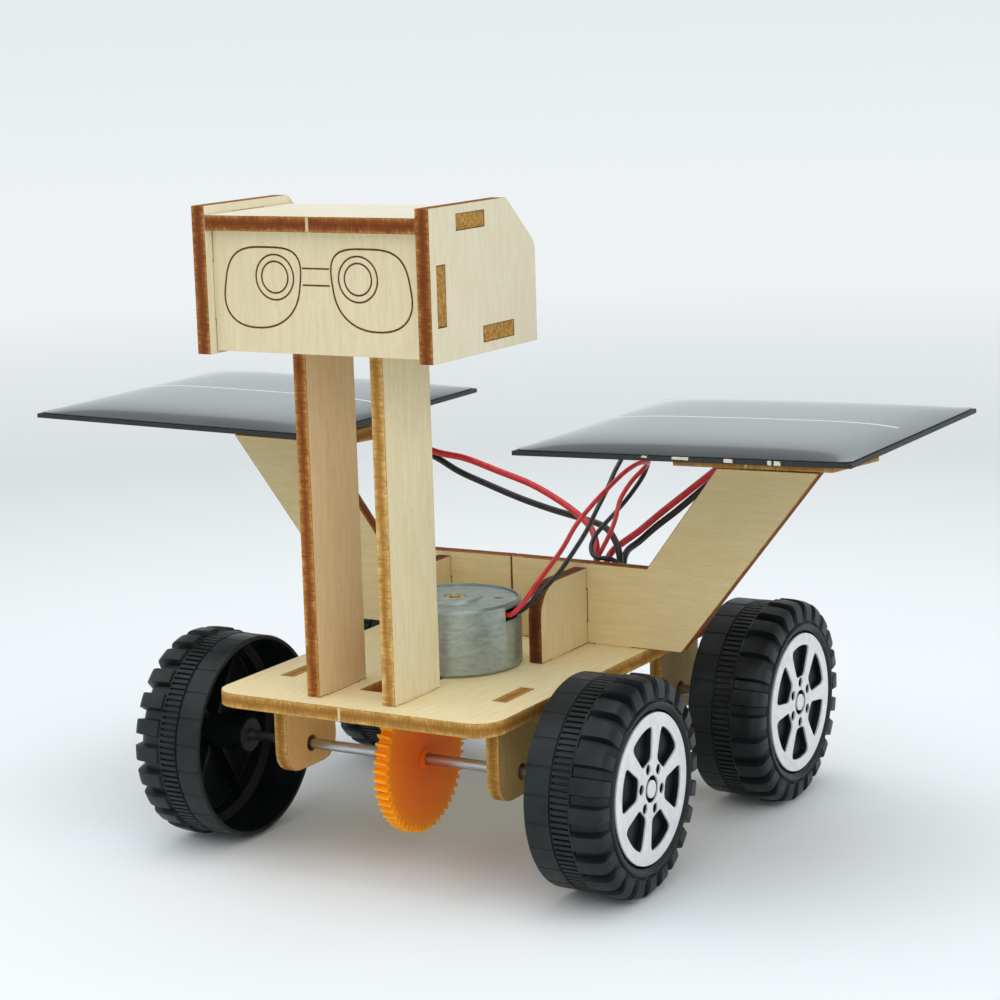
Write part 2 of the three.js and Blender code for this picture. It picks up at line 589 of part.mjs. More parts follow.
// Hollow wheel round Z, open at height 0, with its face at WHEEL_WIDTH.
function wheelBody() {
  const face = WHEEL_WIDTH - 0.7;
  const bore = AXLE_RADIUS + 0.12;
  const shell = turned([
    [0, face], [DISC_RADIUS + 0.3, face], [DISC_RADIUS + 0.3, WHEEL_WIDTH], [15.2, WHEEL_WIDTH - 0.1],
    [17.4, WHEEL_WIDTH - 1], [17.4, 9.6], [18.7, 9.6], [18.7, 0], [18.1, 0], [18.1, 9],
    [16.4, 9.8], [16.4, 12.9], [3.2, 12.9], [3.2, 1.5], [bore, 1.5], [bore, 12.4], [0, 12.4],
  ], LUGS);
  const lugStep = 2 * Math.PI / LUGS;
  const valley = 17.9;
  const points = [];
  for (let k = 0; k < LUGS; k += 1) {
    const middle = k * lugStep;
    const [foot, top] = [0.34 * lugStep, 0.27 * lugStep];
    const tip = WHEEL_RADIUS / Math.cos(top);
    for (const [radius, offset] of [[valley, -foot], [tip, -top], [tip, top], [valley, foot]]) {
      points.push([radius * Math.cos(middle + offset), radius * Math.sin(middle + offset)]);
    }
  }
  const lugBand = sheet('xy', outline(points), 9.9, WHEEL_WIDTH - 0.6 - 9.9);
  return join(shell, cut(lugBand, rod(16.9, 0, WHEEL_WIDTH, LUGS)));
}

// Foil-faced trim disc with six windows.
function trimDisc() {
  const shape = new THREE.Shape();
  shape.absarc(0, 0, DISC_RADIUS, 0, 2 * Math.PI, false);
  for (let k = 0; k < 6; k += 1) {
    const middle = THREE.MathUtils.degToRad(30 + 60 * k);
    const window = [[5.3, 0.32], [10.5, 0.37], [10.8, 0], [10.5, -0.37], [5.3, -0.32]];
    shape.holes.push(new THREE.Path(window.map(([r, a]) => (
      new THREE.Vector2(r * Math.cos(middle + a), r * Math.sin(middle + a))))));
  }
  const geometry = new THREE.ExtrudeGeometry(shape, { depth: DISC_THICK, bevelEnabled: false, curveSegments: 16 });
  geometry.translate(0, 0, WHEEL_WIDTH - 0.7 + 0.1);
  return solid(geometry);
}

for (const [end, y] of [['front', FRONT_AXLE_Y], ['rear', REAR_AXLE_Y]]) {
  for (const side of [LEFT, RIGHT]) {
    const turn = side === RIGHT ? 90 : -90;
    const put = (body) => body.rotate([0, turn, 0]).translate([side * WHEEL_INNER_X + AXLE_SHIFT, y, AXLE_Z]);
    const discTurn = DISC_TURN[end][side === RIGHT ? 1 : 0];
    place(sideName(`${end}_wheel`, side), put(wheelBody()), tyreBlack);
    place(sideName(`${end}_wheel_trim`, side), put(trimDisc().rotate([0, 0, discTurn])), foil);
  }
}

// ---------------------------------------------------------------- wires and splice caps
const CAP = { red: [15.1, 16.8], black: [20.0, 17.3], radius: 2.3, top: DECK + 12.6 };
const MOTOR_LEAD = 0.9;           // diameters
const PANEL_LEAD = 1.3;

const ROUTES = {
  motor_wire_red: [MOTOR_LEAD, redWire, [
    [12.2, -13.9, 43.4], [13.7, -14.1, 43.6], [15.4, -13.2, 45.2], [16.8, -10.0, 48.6], [16.6, 0.0, 52.9],
    [15.6, 8.0, 56.3], [16.6, 12.6, 59.3], [18.5, 15.8, 62.2], [19.8, 20.0, 64.5], [20.5, 24.2, 65.4],
    [20.6, 27.6, 65.0], [18.8, 29.2, 63.4], [16.6, 28.6, 61.0], [15.6, 25.6, 57.9], [16.6, 21.4, 54.8],
    [17.0, 17.8, 52.2], [16.4, 15.9, 49.8], [15.5, 15.2, 47.8], [15.2, 15.1, 46.2],
  ]],
  motor_wire_black: [MOTOR_LEAD, blackWire, [
    [12.2, -11.6, 43.4], [13.9, -11.6, 43.6], [16.0, -11.8, 45.0], [18.3, -10.6, 47.6], [18.3, -4.6, 49.5],
    [18.0, 1.0, 51.8], [17.0, 9.0, 54.8], [16.2, 14.4, 57.5], [16.1, 19.5, 61.1], [16.0, 23.5, 64.3],
    [16.4, 27.2, 66.8], [17.6, 30.4, 67.2], [18.5, 32.0, 65.2], [18.0, 31.4, 62.4], [16.4, 28.9, 58.7],
    [14.9, 25.6, 55.7], [14.4, 20.8, 53.6], [14.3, 17.4, 52.1], [14.6, 15.2, 50.4], [15.8, 13.9, 49.2],
    [17.4, 13.5, 48.9], [18.9, 13.8, 48.9], [20.1, 14.5, 48.3], [20.7, 15.2, 47.2], [20.8, 15.5, 46.2],
  ]],
  left_panel_wire_red: [PANEL_LEAD, redWire, [
    [-40.0, 30.0, 75.1], [-39.4, 30.0, 70.6], [-36.0, 30.0, 66.8], [-28.6, 30.0, 63.9], [-21.1, 29.5, 63.0],
    [-13.3, 29.0, 61.0], [-5.5, 28.0, 59.1], [0.7, 27.0, 56.8], [6.6, 25.0, 54.4], [10.7, 22.5, 52.5],
    [12.9, 20.2, 50.6], [14.1, 18.4, 48.4], [14.3, 17.6, 46.2],
  ]],
  left_panel_wire_black: [PANEL_LEAD, blackWire, [
    [-43.0, 31.6, 75.1], [-42.4, 31.6, 70.4], [-37.6, 31.4, 65.6], [-29.2, 31.2, 62.6], [-23.6, 31.0, 60.0],
    [-17.1, 31.0, 57.8], [-9.0, 30.4, 55.5], [-1.3, 29.0, 54.1], [6.8, 26.8, 53.2], [13.0, 23.8, 52.6],
    [17.2, 20.2, 50.8], [19.3, 17.8, 48.4], [19.8, 17.0, 46.2],
  ]],
  right_panel_wire_red: [PANEL_LEAD, redWire, [
    [41.0, 29.6, 75.1], [40.0, 29.6, 70.4], [36.4, 29.2, 66.2], [29.5, 28.6, 60.5], [23.1, 27.4, 55.3],
    [19.6, 25.2, 52.0], [17.6, 22.6, 50.2], [16.6, 20.3, 49.0], [16.3, 18.6, 47.7], [16.3, 17.9, 46.2],
  ]],
  right_panel_wire_black: [PANEL_LEAD, blackWire, [
    [44.0, 31.6, 75.1], [42.8, 31.6, 70.0], [38.2, 31.2, 65.8], [33.4, 30.2, 62.2], [29.4, 29.6, 58.8],
    [25.7, 28.8, 55.6], [21.7, 27.4, 52.3], [19.6, 25.2, 50.0], [18.7, 22.6, 48.9], [19.0, 20.2, 47.8],
    [19.4, 18.9, 46.2],
  ]],
};

function wire(diameter, points) {
  const path = new THREE.CatmullRomCurve3(points.map((p) => new THREE.Vector3(...p)), false, 'centripetal');
  const section = new THREE.Shape();
  section.absarc(0, 0, diameter / 2, 0, 2 * Math.PI, false);
  const steps = Math.round(path.getLength() / (3 * diameter));
  return solid(new THREE.ExtrudeGeometry(section, { steps, extrudePath: path, bevelEnabled: false, curveSegments: 4 }));
}

for (const [name, [diameter, finish, points]] of Object.entries(ROUTES)) {
  place(name, wire(diameter, points), finish);
}
for (const [colour, finish] of [['red', redCap], ['black', blackCap]]) {
  const [x, y] = CAP[colour];
  place(`splice_cap_${colour}`, rod(CAP.radius, DECK, CAP.top, 12).translate([x, y, 0]), finish);
}

export default rover;
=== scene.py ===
import math

import bmesh
import bpy
import numpy as np
from mathutils import Matrix, Vector


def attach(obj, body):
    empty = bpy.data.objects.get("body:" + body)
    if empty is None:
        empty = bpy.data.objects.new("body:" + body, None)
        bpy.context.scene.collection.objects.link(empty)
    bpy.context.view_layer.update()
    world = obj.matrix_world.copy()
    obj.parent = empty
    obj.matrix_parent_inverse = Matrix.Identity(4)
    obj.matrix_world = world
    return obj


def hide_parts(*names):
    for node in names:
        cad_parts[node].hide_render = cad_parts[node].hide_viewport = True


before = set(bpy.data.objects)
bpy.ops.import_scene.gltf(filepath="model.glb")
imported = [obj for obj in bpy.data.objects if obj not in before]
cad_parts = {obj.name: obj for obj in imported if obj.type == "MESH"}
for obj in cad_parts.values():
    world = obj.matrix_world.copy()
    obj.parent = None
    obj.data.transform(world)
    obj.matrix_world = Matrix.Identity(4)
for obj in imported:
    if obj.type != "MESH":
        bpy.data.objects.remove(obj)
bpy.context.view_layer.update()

MM = 0.001
X, Y, Z = (1, 0, 0), (0, 1, 0), (0, 0, 1)
SIDES = {"left": -1, "right": 1}

# ---------------------------------------------------------------- dimensions, in millimetres
AXLE_Z = 19.4
AXLE_Y = {"front": -28.4, "rear": 34.1}
WHEEL_INNER_X = 33.55
AXLE_SHIFT = 0.6
LUGS = 24
RIBS = 108
SPOKES = 6
DISC_RADIUS = 13.2
DISC_TURN = {"front": (10, -12.5), "rear": (40, 28.5)}
TYRE_RADIUS = 18.7
SPIDER = {"at": 13.32, "thick": 0.98, "bevel": 0.05}
FOIL = {"at": 14.31, "thick": 0.4, "bevel": 0.06}
PLY = 2.6
DECK_TOP = 33.1
COLUMN_X = {"left": -9.26, "right": 6.34}
HEAD_HALF = 23.5
HEAD_TOP = 115.35
HEAD_FLOOR = 96.1
FACE_Y = -51.55
WING_Y = 10.3
BRACKET_X = 22.2
GUSSET_X = 14.8
PANEL_PIVOT = (50.2, 11.6, 68.4)
PANEL_CENTRE = (52.5, 5.0)
PANEL_ROLL = 1.1
PANEL_TURN = 1.5
PANEL_SIZE = 62
RESIN_INSET = 0.4
RESIN_RISE = 1.6
RESIN_REACH = 4.6
GLUE = 0.1
FOAM = 4.2
TAPE = 0.2
BOARD = 0.8
BOARD_TOP = PANEL_PIVOT[2] + GLUE + PLY + TAPE + FOAM + TAPE + BOARD
EPOXY_LOW = BOARD_TOP + GLUE


# ---------------------------------------------------------------- camera
def make_camera():
    data = bpy.data.cameras.new("camera")
    data.lens = 95.27
    data.sensor_width = 36
    data.shift_x = 0.0213
    data.shift_y = 0.0189
    data.clip_start = 0.01
    data.clip_end = 20
    cam = bpy.data.objects.new("camera", data)
    bpy.context.scene.collection.objects.link(cam)
    at = Vector((246.76, -414.96, 150.82)) * MM
    target = Vector((15.4, -27.12, 63.63)) * MM
    forward = (target - at).normalized()
    right = forward.cross(Vector((0, 0, 1))).normalized()
    up = right.cross(forward)
    roll = math.radians(-1.773)
    level_right, level_up = right.copy(), up.copy()
    right = level_right * math.cos(roll) + level_up * math.sin(roll)
    up = level_up * math.cos(roll) - level_right * math.sin(roll)
    turn = Matrix((right, up, -forward)).transposed()
    cam.matrix_world = Matrix.Translation(at) @ turn.to_4x4()
    bpy.context.scene.camera = cam


make_camera()


# ---------------------------------------------------------------- shader helper
class Shader:
    """A material built node by node. Most methods return an output socket; the last three plug one in."""

    def __init__(self, name, roughness=0.5, metallic=0.0, **principled):
        self.material = bpy.data.materials.new(name)
        self.material.use_nodes = True
        self.tree = self.material.node_tree
        self.bsdf = self.tree.nodes["Principled BSDF"]
        self.bsdf.inputs["Roughness"].default_value = roughness
        self.bsdf.inputs["Metallic"].default_value = metallic
        for key, value in principled.items():
            self.bsdf.inputs[key.replace("_", " ")].default_value = value

    def node(self, kind, inputs=(), **settings):
        made = self.tree.nodes.new(kind)
        for key, value in settings.items():
            setattr(made, key, value)
        for key, value in dict(inputs).items():
            if isinstance(value, bpy.types.NodeSocket):
                self.tree.links.new(value, made.inputs[key])
            else:
                made.inputs[key].default_value = value
        return made

    def place(self):
        return self.node("ShaderNodeTexCoord").outputs["Object"]

    def math(self, how, a, b=0.0, c=0.0):
        return self.node("ShaderNodeMath", {0: a, 1: b, 2: c}, operation=how).outputs[0]

    def dot(self, vector, axis):
        made = self.node("ShaderNodeVectorMath", {0: vector, 1: axis}, operation="DOT_PRODUCT")
        return made.outputs["Value"]

    def combine(self, x, y, z):
        return self.node("ShaderNodeCombineXYZ", {0: x, 1: y, 2: z}).outputs[0]

    def scaled(self, vector, by):
        return self.node("ShaderNodeVectorMath", {0: vector, 1: by}, operation="MULTIPLY").outputs[0]

    def noise(self, vector, scale=1.0, detail=3.0, rough=0.5):
        inputs = {"Vector": vector, "Scale": scale, "Detail": detail, "Roughness": rough}
        return self.node("ShaderNodeTexNoise", inputs).outputs[0]

    def veneer(self, along, across, along_scale, across_scale, seed, **noise):
        """Noise drawn out along the grain; the seed moves it to another part of the pattern."""
        placed = [self.math("MULTIPLY", along, along_scale), self.math("MULTIPLY", across, across_scale)]
        return self.noise(self.combine(*placed, seed), **noise)

    def stretched(self, first, second, third, scales, **noise):
        """Noise over three separate coordinates, each with its own scale."""
        placed = [self.math("MULTIPLY", value, by) for value, by in zip((first, second, third), scales)]
        return self.noise(self.combine(*placed), **noise)

    def ramp(self, fac, stops):
        made = self.node("ShaderNodeValToRGB", {0: fac})
        keys = made.color_ramp.elements
        while len(keys) < len(stops):
            keys.new(0.5)
        for key, (at, colour) in zip(keys, stops):
            key.position = at
            if isinstance(colour, (int, float)):
                colour = (colour, colour, colour)
            key.color = (*colour, 1)
        return made.outputs[0]

    def mix(self, fac, a, b):
        """b over a, by fac; each colour is a socket or three linear values."""
        made = self.node("ShaderNodeMix", {0: fac}, data_type="RGBA")
        for slot, value in ((6, a), (7, b)):
            if isinstance(value, bpy.types.NodeSocket):
                self.tree.links.new(value, made.inputs[slot])
            else:
                made.inputs[slot].default_value = (*value, 1)
        return made.outputs[2]

    def colour(self, socket):
        self.tree.links.new(socket, self.bsdf.inputs["Base Color"])

    def rough(self, socket):
        self.tree.links.new(socket, self.bsdf.inputs["Roughness"])

    def bump(self, height, distance, strength=1.0):
        made = self.node("ShaderNodeBump", {"Height": height, "Distance": distance, "Strength": strength})
        self.tree.links.new(made.outputs[0], self.bsdf.inputs["Normal"])


def srgb(r, g, b):
    return tuple((v / 255 / 12.92) if v <= 10 else ((v / 255 + 0.055) / 1.055) ** 2.4 for v in (r, g, b))


# ---------------------------------------------------------------- plywood
BURNS = {
    "deep": (srgb(84, 40, 12), srgb(108, 56, 18), srgb(146, 92, 40)),
    "dark": (srgb(118, 58, 16), srgb(144, 82, 28), srgb(186, 134, 66)),
    "gold": (srgb(158, 108, 42), srgb(186, 138, 64), srgb(212, 172, 104)),
    "amber": (srgb(132, 70, 20), srgb(172, 108, 40), srgb(210, 156, 86)),
    "honey": (srgb(174, 122, 52), srgb(206, 160, 88), srgb(226, 190, 124)),
}


def plywood(name, thickness_axis, middle, grain_axis, face, seed, burn, nick):
    """Pale veneer on the sheet's two faces, and laser-scorched plies on every cut edge."""
    s = Shader(f"plywood_{name}", roughness=0.62, Specular_IOR_Level=0.25)
    n = Vector(thickness_axis).normalized()
    u = Vector(grain_axis)
    v = n.cross(u)
    here = s.place()
    along = s.dot(here, u)
    across = s.dot(here, v)
    depth = s.math("SUBTRACT", s.dot(here, n), middle * MM)
    normal = s.node("ShaderNodeTexCoord").outputs["Normal"]
    is_face = s.math("GREATER_THAN", s.math("ABSOLUTE", s.dot(normal, n)), 0.8)
    # veneer: short fibres and a fine mottle, hardly any figure
    stripes = s.veneer(along, across, 130, 1100, seed, detail=6, rough=0.7)
    fibres = s.veneer(along, across, 700, 4200, seed + 3, detail=3)
    blotch = s.veneer(along, across, 60, 110, seed + 7, detail=4)
    light = tuple(min(1, c * 1.03) for c in face)
    dark = (face[0] * 0.92, face[1] * 0.88, face[2] * 0.80)
    wood = s.mix(s.ramp(stripes, [(0.34, 0.0), (0.66, 1.0)]), dark, light)
    wood = s.mix(s.math("MULTIPLY", s.ramp(blotch, [(0.40, 0.0), (0.70, 1.0)]), 0.45), wood, dark)
    flecks = s.ramp(fibres, [(0.0, 1.0), (0.32, 0.9), (0.42, 0.0)])
    wood = s.mix(s.math("MULTIPLY", flecks, 0.24), wood, (face[0] * 0.74, face[1] * 0.62, face[2] * 0.46))
    # cut edge: burnt core, golden where it meets the veneers, and striped across by the laser's pulses
    core, body, rim = BURNS[burn]
    streaks = s.stretched(along, across, depth, (2600, 2600, 500), detail=4, rough=0.7)
    patches = s.noise(here, 420.0 + seed, detail=4, rough=0.6)
    off = s.math("DIVIDE", s.math("ABSOLUTE", depth), PLY / 2 * MM)
    wander = s.math("MULTIPLY_ADD", s.math("SUBTRACT", patches, 0.5), 1.1, off)
    wander = s.math("MULTIPLY_ADD", s.math("SUBTRACT", streaks, 0.5), 0.8, wander)
    edge = s.ramp(wander, [(0.10, core), (0.62, body), (0.98, rim)])
    charred = s.math("MULTIPLY", s.ramp(streaks, [(0.34, 1.0), (0.58, 0.0)]), 0.45)
    edge = s.mix(charred, edge, tuple(c * 0.55 for c in core))
    smears = s.stretched(along, across, depth, (150, 150, 900), detail=4, rough=0.65)
    smeared = s.math("MULTIPLY", s.ramp(smears, [(0.50, 0.0), (0.66, 1.0)]), 0.5)
    edge = s.mix(smeared, edge, tuple(c * 0.62 for c in core))
    lip = s.math("MULTIPLY", s.ramp(off, [(0.0, 0.0), (0.90, 0.0), (1.0, 1.0)]), 0.6)
    edge = s.mix(lip, edge, tuple(c * 0.6 for c in core))
    if name.startswith("head"):
        # the ends of the tabs that show in the side panels' slots are only toasted
        tab = s.math("GREATER_THAN", s.math("ABSOLUTE", s.dot(here, X)), (HEAD_HALF - 0.6) * MM)
        tab = s.math("MULTIPLY", tab, float("side" not in name))
        toasted = [(0.35, srgb(150, 106, 40)), (0.68, srgb(196, 150, 80))]
        edge = s.mix(tab, edge, s.ramp(s.noise(here, 1500.0, detail=3), toasted))
    if nick is not None:
        axis, at = nick
        off_nick = s.math("ABSOLUTE", s.math("SUBTRACT", s.dot(here, axis), at * MM))
        close = s.math("LESS_THAN", off_nick, 0.00028)
        edge = s.mix(s.math("MULTIPLY", close, 0.8), edge, srgb(222, 200, 156))
    s.colour(s.mix(is_face, edge, wood))
    s.rough(s.math("MULTIPLY_ADD", is_face, -0.14, 0.76))
    relief = s.math("MULTIPLY", s.math("ADD", s.math("MULTIPLY", fibres, 0.5), stripes), is_face)
    ridges = s.math("MULTIPLY", streaks, s.math("SUBTRACT", 1.0, is_face))
    s.bump(s.math("ADD", relief, ridges), 0.00005, 0.4)
    return s.material


def scorch(name, low, high):
    """The thin browned line where the laser entered and left the sheet."""
    s = Shader(name, roughness=0.75, Specular_IOR_Level=0.2)
    here = s.place()
    s.colour(s.ramp(s.noise(here, 1500.0, detail=4, rough=0.65), [(0.36, low), (0.64, high)]))
    s.bump(s.noise(here, 2500.0), 0.00003, 0.4)
    return s.material


# ---------------------------------------------------------------- other materials
def wheel_plastic():
    s = Shader("wheel_plastic", roughness=0.4, Specular_IOR_Level=0.3)
    here = s.place()
    haze = s.noise(here, 160.0, detail=4)
    s.colour(s.ramp(haze, [(0.35, srgb(14, 19, 20)), (0.70, srgb(26, 34, 36))]))
    s.rough(s.ramp(s.noise(here, 380.0, detail=3), [(0.3, 0.34), (0.72, 0.52)]))
    s.bump(s.noise(here, 2600.0, detail=2), 0.00004, 0.25)
    return s.material


def foil():
    s = Shader("hot_foil", roughness=0.45, metallic=0.2)
    here = s.place()
    brushed = s.noise(s.scaled(here, (500, 900, 6000)), 1.0, detail=3)
    s.colour(s.ramp(brushed, [(0.3, srgb(222, 222, 224)), (0.7, srgb(236, 236, 238))]))
    s.rough(s.ramp(brushed, [(0.3, 0.42), (0.75, 0.48)]))
    s.bump(brushed, 0.000005, 0.2)
    return s.material


def zinc():
    s = Shader("zinc_plate", roughness=0.42, metallic=0.8)
    here = s.place()
    tone = s.noise(s.scaled(here, (500, 500, 1400)), 1.0, detail=5, rough=0.6)
    s.colour(s.ramp(tone, [(0.3, srgb(150, 161, 154)), (0.7, srgb(178, 188, 181))]))
    s.rough(s.ramp(s.noise(here, 500.0, detail=4), [(0.3, 0.36), (0.7, 0.52)]))
    s.bump(s.noise(here, 2200.0, detail=4), 0.00002, 0.3)
    return s.material


def metal(name, low, high, roughness, scale=(300, 300, 300)):
    s = Shader(name, roughness=roughness, metallic=1.0)
    streak = s.noise(s.scaled(s.place(), scale), 1.0, detail=4)
    s.colour(s.ramp(streak, [(0.3, low), (0.7, high)]))
    s.rough(s.math("MULTIPLY_ADD", streak, 0.25, roughness - 0.1))
    s.bump(streak, 0.00002, 0.3)
    return s.material


def moulded(name, low, high, roughness, scale=400.0):
    s = Shader(name, roughness=roughness)
    here = s.place()
    s.colour(s.ramp(s.noise(here, scale, detail=4), [(0.3, low), (0.7, high)]))
    s.rough(s.math("MULTIPLY_ADD", s.noise(here, scale * 2.3, detail=3), 0.2, roughness - 0.1))
    s.bump(s.noise(here, scale * 4), 0.00003, 0.3)
    return s.material


def gear_plastic():
    """Translucent orange, with a painted glow: the colour turns yellower and brighter toward the thin
    teeth, standing in for light shining through them.
    """
    s = Shader("gear_orange", roughness=0.42, Specular_IOR_Level=0.25,
               Subsurface_Weight=0.35, Subsurface_Scale=0.003)
    part = s.node("ShaderNodeSeparateXYZ", {0: s.place()})
    y = s.math("SUBTRACT", part.outputs[1], AXLE_Y["front"] * MM)
    z = s.math("SUBTRACT", part.outputs[2], AXLE_Z * MM)
    radius = s.math("POWER", s.math("ADD", s.math("POWER", y, 2.0), s.math("POWER", z, 2.0)), 0.5)
    mottle = s.math("MULTIPLY", s.math("SUBTRACT", s.noise(s.place(), 500.0, detail=4), 0.5), 0.0012)
    tone = s.math("MULTIPLY", s.math("ADD", radius, mottle), 60.0)    # 1.0 at 16.7 mm from the axle
    # painted glow: the orange lightens and yellows outward to the teeth, for light passing through the thin
    # plastic
    s.colour(s.ramp(tone, [(0.10, srgb(240, 104, 8)), (0.60, srgb(255, 128, 6)),
                           (0.70, srgb(255, 138, 8)), (0.80, srgb(255, 166, 22))]))
    s.rough(s.ramp(s.noise(s.place(), 700.0, detail=3), [(0.3, 0.36), (0.7, 0.5)]))
    s.bump(s.noise(s.place(), 1600.0), 0.00003, 0.3)
    return s.material


def insulation(name, low, high):
    s = Shader(name, roughness=0.36)
    here = s.place()
    s.colour(s.ramp(s.noise(here, 900.0, detail=3), [(0.3, low), (0.7, high)]))
    s.bump(s.noise(here, 1800.0, detail=3), 0.00004, 0.3)
    return s.material


# where pale fibre shows on the right board's front edge: x and half length
TORN = ((47.3, 0.5), (53.9, 1.5), (62.6, 0.8), (69.9, 0.35), (71.6, 0.9), (78.0, 1.0), (80.8, 0.35))


def board_black():
    """Black laminate with bits of pale fibre showing along the sawn edge."""
    s = Shader("board_black", roughness=0.5)
    here = s.place()
    weave = s.noise(s.scaled(here, (2500, 2500, 700)), 1.0, detail=2)
    body = s.ramp(weave, [(0.35, srgb(16, 18, 19)), (0.68, srgb(38, 38, 36))])
    part = s.node("ShaderNodeSeparateXYZ", {0: here})
    side = s.math("LESS_THAN", part.outputs[1], (PANEL_CENTRE[1] - PANEL_SIZE / 2 + 0.5) * MM)
    upper = s.math("GREATER_THAN", part.outputs[2], (BOARD_TOP - 0.34) * MM)
    bits = 0.0
    for at, half in TORN:
        off_bit = s.math("ABSOLUTE", s.math("SUBTRACT", part.outputs[0], at * MM))
        near = s.math("LESS_THAN", off_bit, half * MM)
        bits = s.math("ADD", bits, near)
    ragged = s.math("GREATER_THAN", s.noise(s.scaled(here, (2600, 0, 5200)), 1.0, detail=3), 0.40)
    torn = s.math("MULTIPLY", s.math("MULTIPLY", bits, ragged), s.math("MULTIPLY", side, upper))
    s.colour(s.mix(s.math("MULTIPLY", torn, 0.9), body, srgb(226, 218, 196)))
    s.rough(s.ramp(weave, [(0.3, 0.4), (0.7, 0.62)]))
    s.bump(weave, 0.00004, 0.4)
    return s.material


def cells_under_resin(name):
    """Dark cells with a pale joint across the middle, seen through polished cast resin."""
    s = Shader(name, roughness=0.12, IOR=1.5, Coat_Weight=0.68, Coat_Roughness=0.08, Coat_IOR=1.5)
    here = s.place()
    part = s.node("ShaderNodeSeparateXYZ", {0: here})
    x, y = part.outputs[0], part.outputs[1]
    waves = s.noise(s.combine(s.math("MULTIPLY", x, 90), 0.0, 2.0))
    wander = s.math("MULTIPLY", s.math("SUBTRACT", waves, 0.5), 0.0005)
    joint = s.math("LESS_THAN", s.math("ABSOLUTE", s.math("ADD", y, wander)), 0.00030)
    gaps = s.math("GREATER_THAN", s.noise(s.combine(s.math("MULTIPLY", x, 350), 0.0, 9.0)), 0.36)
    joint = s.math("MULTIPLY", joint, s.math("LESS_THAN", s.math("ABSOLUTE", x), 0.0276))
    fingers = s.math("LESS_THAN", s.math("FRACT", s.math("DIVIDE", x, 0.0011)), 0.06)
    cloud = s.noise(here, 60.0, detail=3)
    cell = s.ramp(cloud, [(0.35, srgb(18, 32, 36)), (0.70, srgb(34, 50, 54))])
    cell = s.mix(s.math("MULTIPLY", fingers, 0.14), cell, srgb(90, 104, 108))
    pale = s.mix(gaps, srgb(120, 130, 130), srgb(250, 252, 250))
    s.colour(s.mix(s.math("MULTIPLY", joint, 0.9), cell, pale))
    s.rough(s.ramp(s.noise(here, 900.0, detail=2), [(0.3, 0.10), (0.7, 0.17)]))
    s.bump(s.noise(here, 420.0, detail=3), 0.00010, 0.10)
    return s.material


# ---------------------------------------------------------------- meshes
def finish_mesh(mesh, sharp=35):
    """Merges double points and shades smooth, with edges over so many degrees left sharp."""
    bm = bmesh.new()
    bm.from_mesh(mesh)
    bmesh.ops.remove_doubles(bm, verts=bm.verts, dist=1e-7)
    bmesh.ops.recalc_face_normals(bm, faces=bm.faces)
    for face in bm.faces:
        face.smooth = True
    for edge in bm.edges:
        if len(edge.link_faces) == 2:
            edge.smooth = edge.calc_face_angle(0) < math.radians(sharp)
    bm.to_mesh(mesh)
    bm.free()
    mesh.update()
    return mesh


def add_object(name, mesh, material, body, matrix=None, replaces=()):
    """Puts a mesh in the scene on one of the frame's bodies."""
    obj = bpy.data.objects.new(name, mesh)
    bpy.context.scene.collection.objects.link(obj)
    if material and not mesh.materials:
        mesh.materials.append(material)
    if matrix is not None:
        obj.matrix_world = matrix
    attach(obj, body)
    if replaces:
        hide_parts(*replaces)
    return obj


def turned(name, rings, angles, sharp):
    """A closed body round X. Each ring gives (x, r) for an angle; the first and last lie on the axis."""
    verts, faces = [], []
    count = len(angles)
    for ring in rings:
        for a in angles:
            x, r = ring(a)
            verts.append((x * MM, r * MM * math.sin(a), -r * MM * math.cos(a)))
    for j in range(len(rings) - 1):
        for i in range(count):
            k = (i + 1) % count
            faces.append((j * count + i, j * count + k, (j + 1) * count + k, (j + 1) * count + i))
    mesh = bpy.data.meshes.new(name)
    mesh.from_pydata(verts, [], faces)
    bm = bmesh.new()
    bm.from_mesh(mesh)
    bmesh.ops.remove_doubles(bm, verts=bm.verts, dist=1e-7)
    bmesh.ops.dissolve_degenerate(bm, edges=bm.edges, dist=1e-7)
    bm.to_mesh(mesh)
    bm.free()
    return finish_mesh(mesh, sharp)


def flat_plate(name, outlines, thickness, bevel):
    """A flat plate in XY, up from z 0, whose inner outlines are holes and islands; all in millimetres."""
    curve = bpy.data.curves.new(name, "CURVE")
    curve.dimensions = "2D"
    curve.fill_mode = "BOTH"
    curve.extrude = (thickness / 2 - bevel) * MM
    curve.bevel_depth = bevel * MM
    curve.bevel_resolution = 2
    curve.offset = -bevel * MM
    for points in outlines:
        spline = curve.splines.new("POLY")
        spline.points.add(len(points) - 1)
        for point, (x, y) in zip(spline.points, points):
            point.co = (x * MM, y * MM, 0, 1)
        spline.use_cyclic_u = True
    obj = bpy.data.objects.new(name, curve)
    bpy.context.scene.collection.objects.link(obj)
    bpy.context.view_layer.update()
    shape = obj.evaluated_get(bpy.context.evaluated_depsgraph_get())
    mesh = bpy.data.meshes.new_from_object(shape)
    bpy.data.objects.remove(obj)
    bpy.data.curves.remove(curve)
    mesh.materials.clear()
    mesh.transform(Matrix.Translation((0, 0, thickness / 2 * MM)))
    return finish_mesh(mesh)


def circle(radius, count, x=0.0, y=0.0):
    return [(x + radius * math.cos(2 * math.pi * i / count), y + radius * math.sin(2 * math.pi * i / count))
            for i in range(count)]


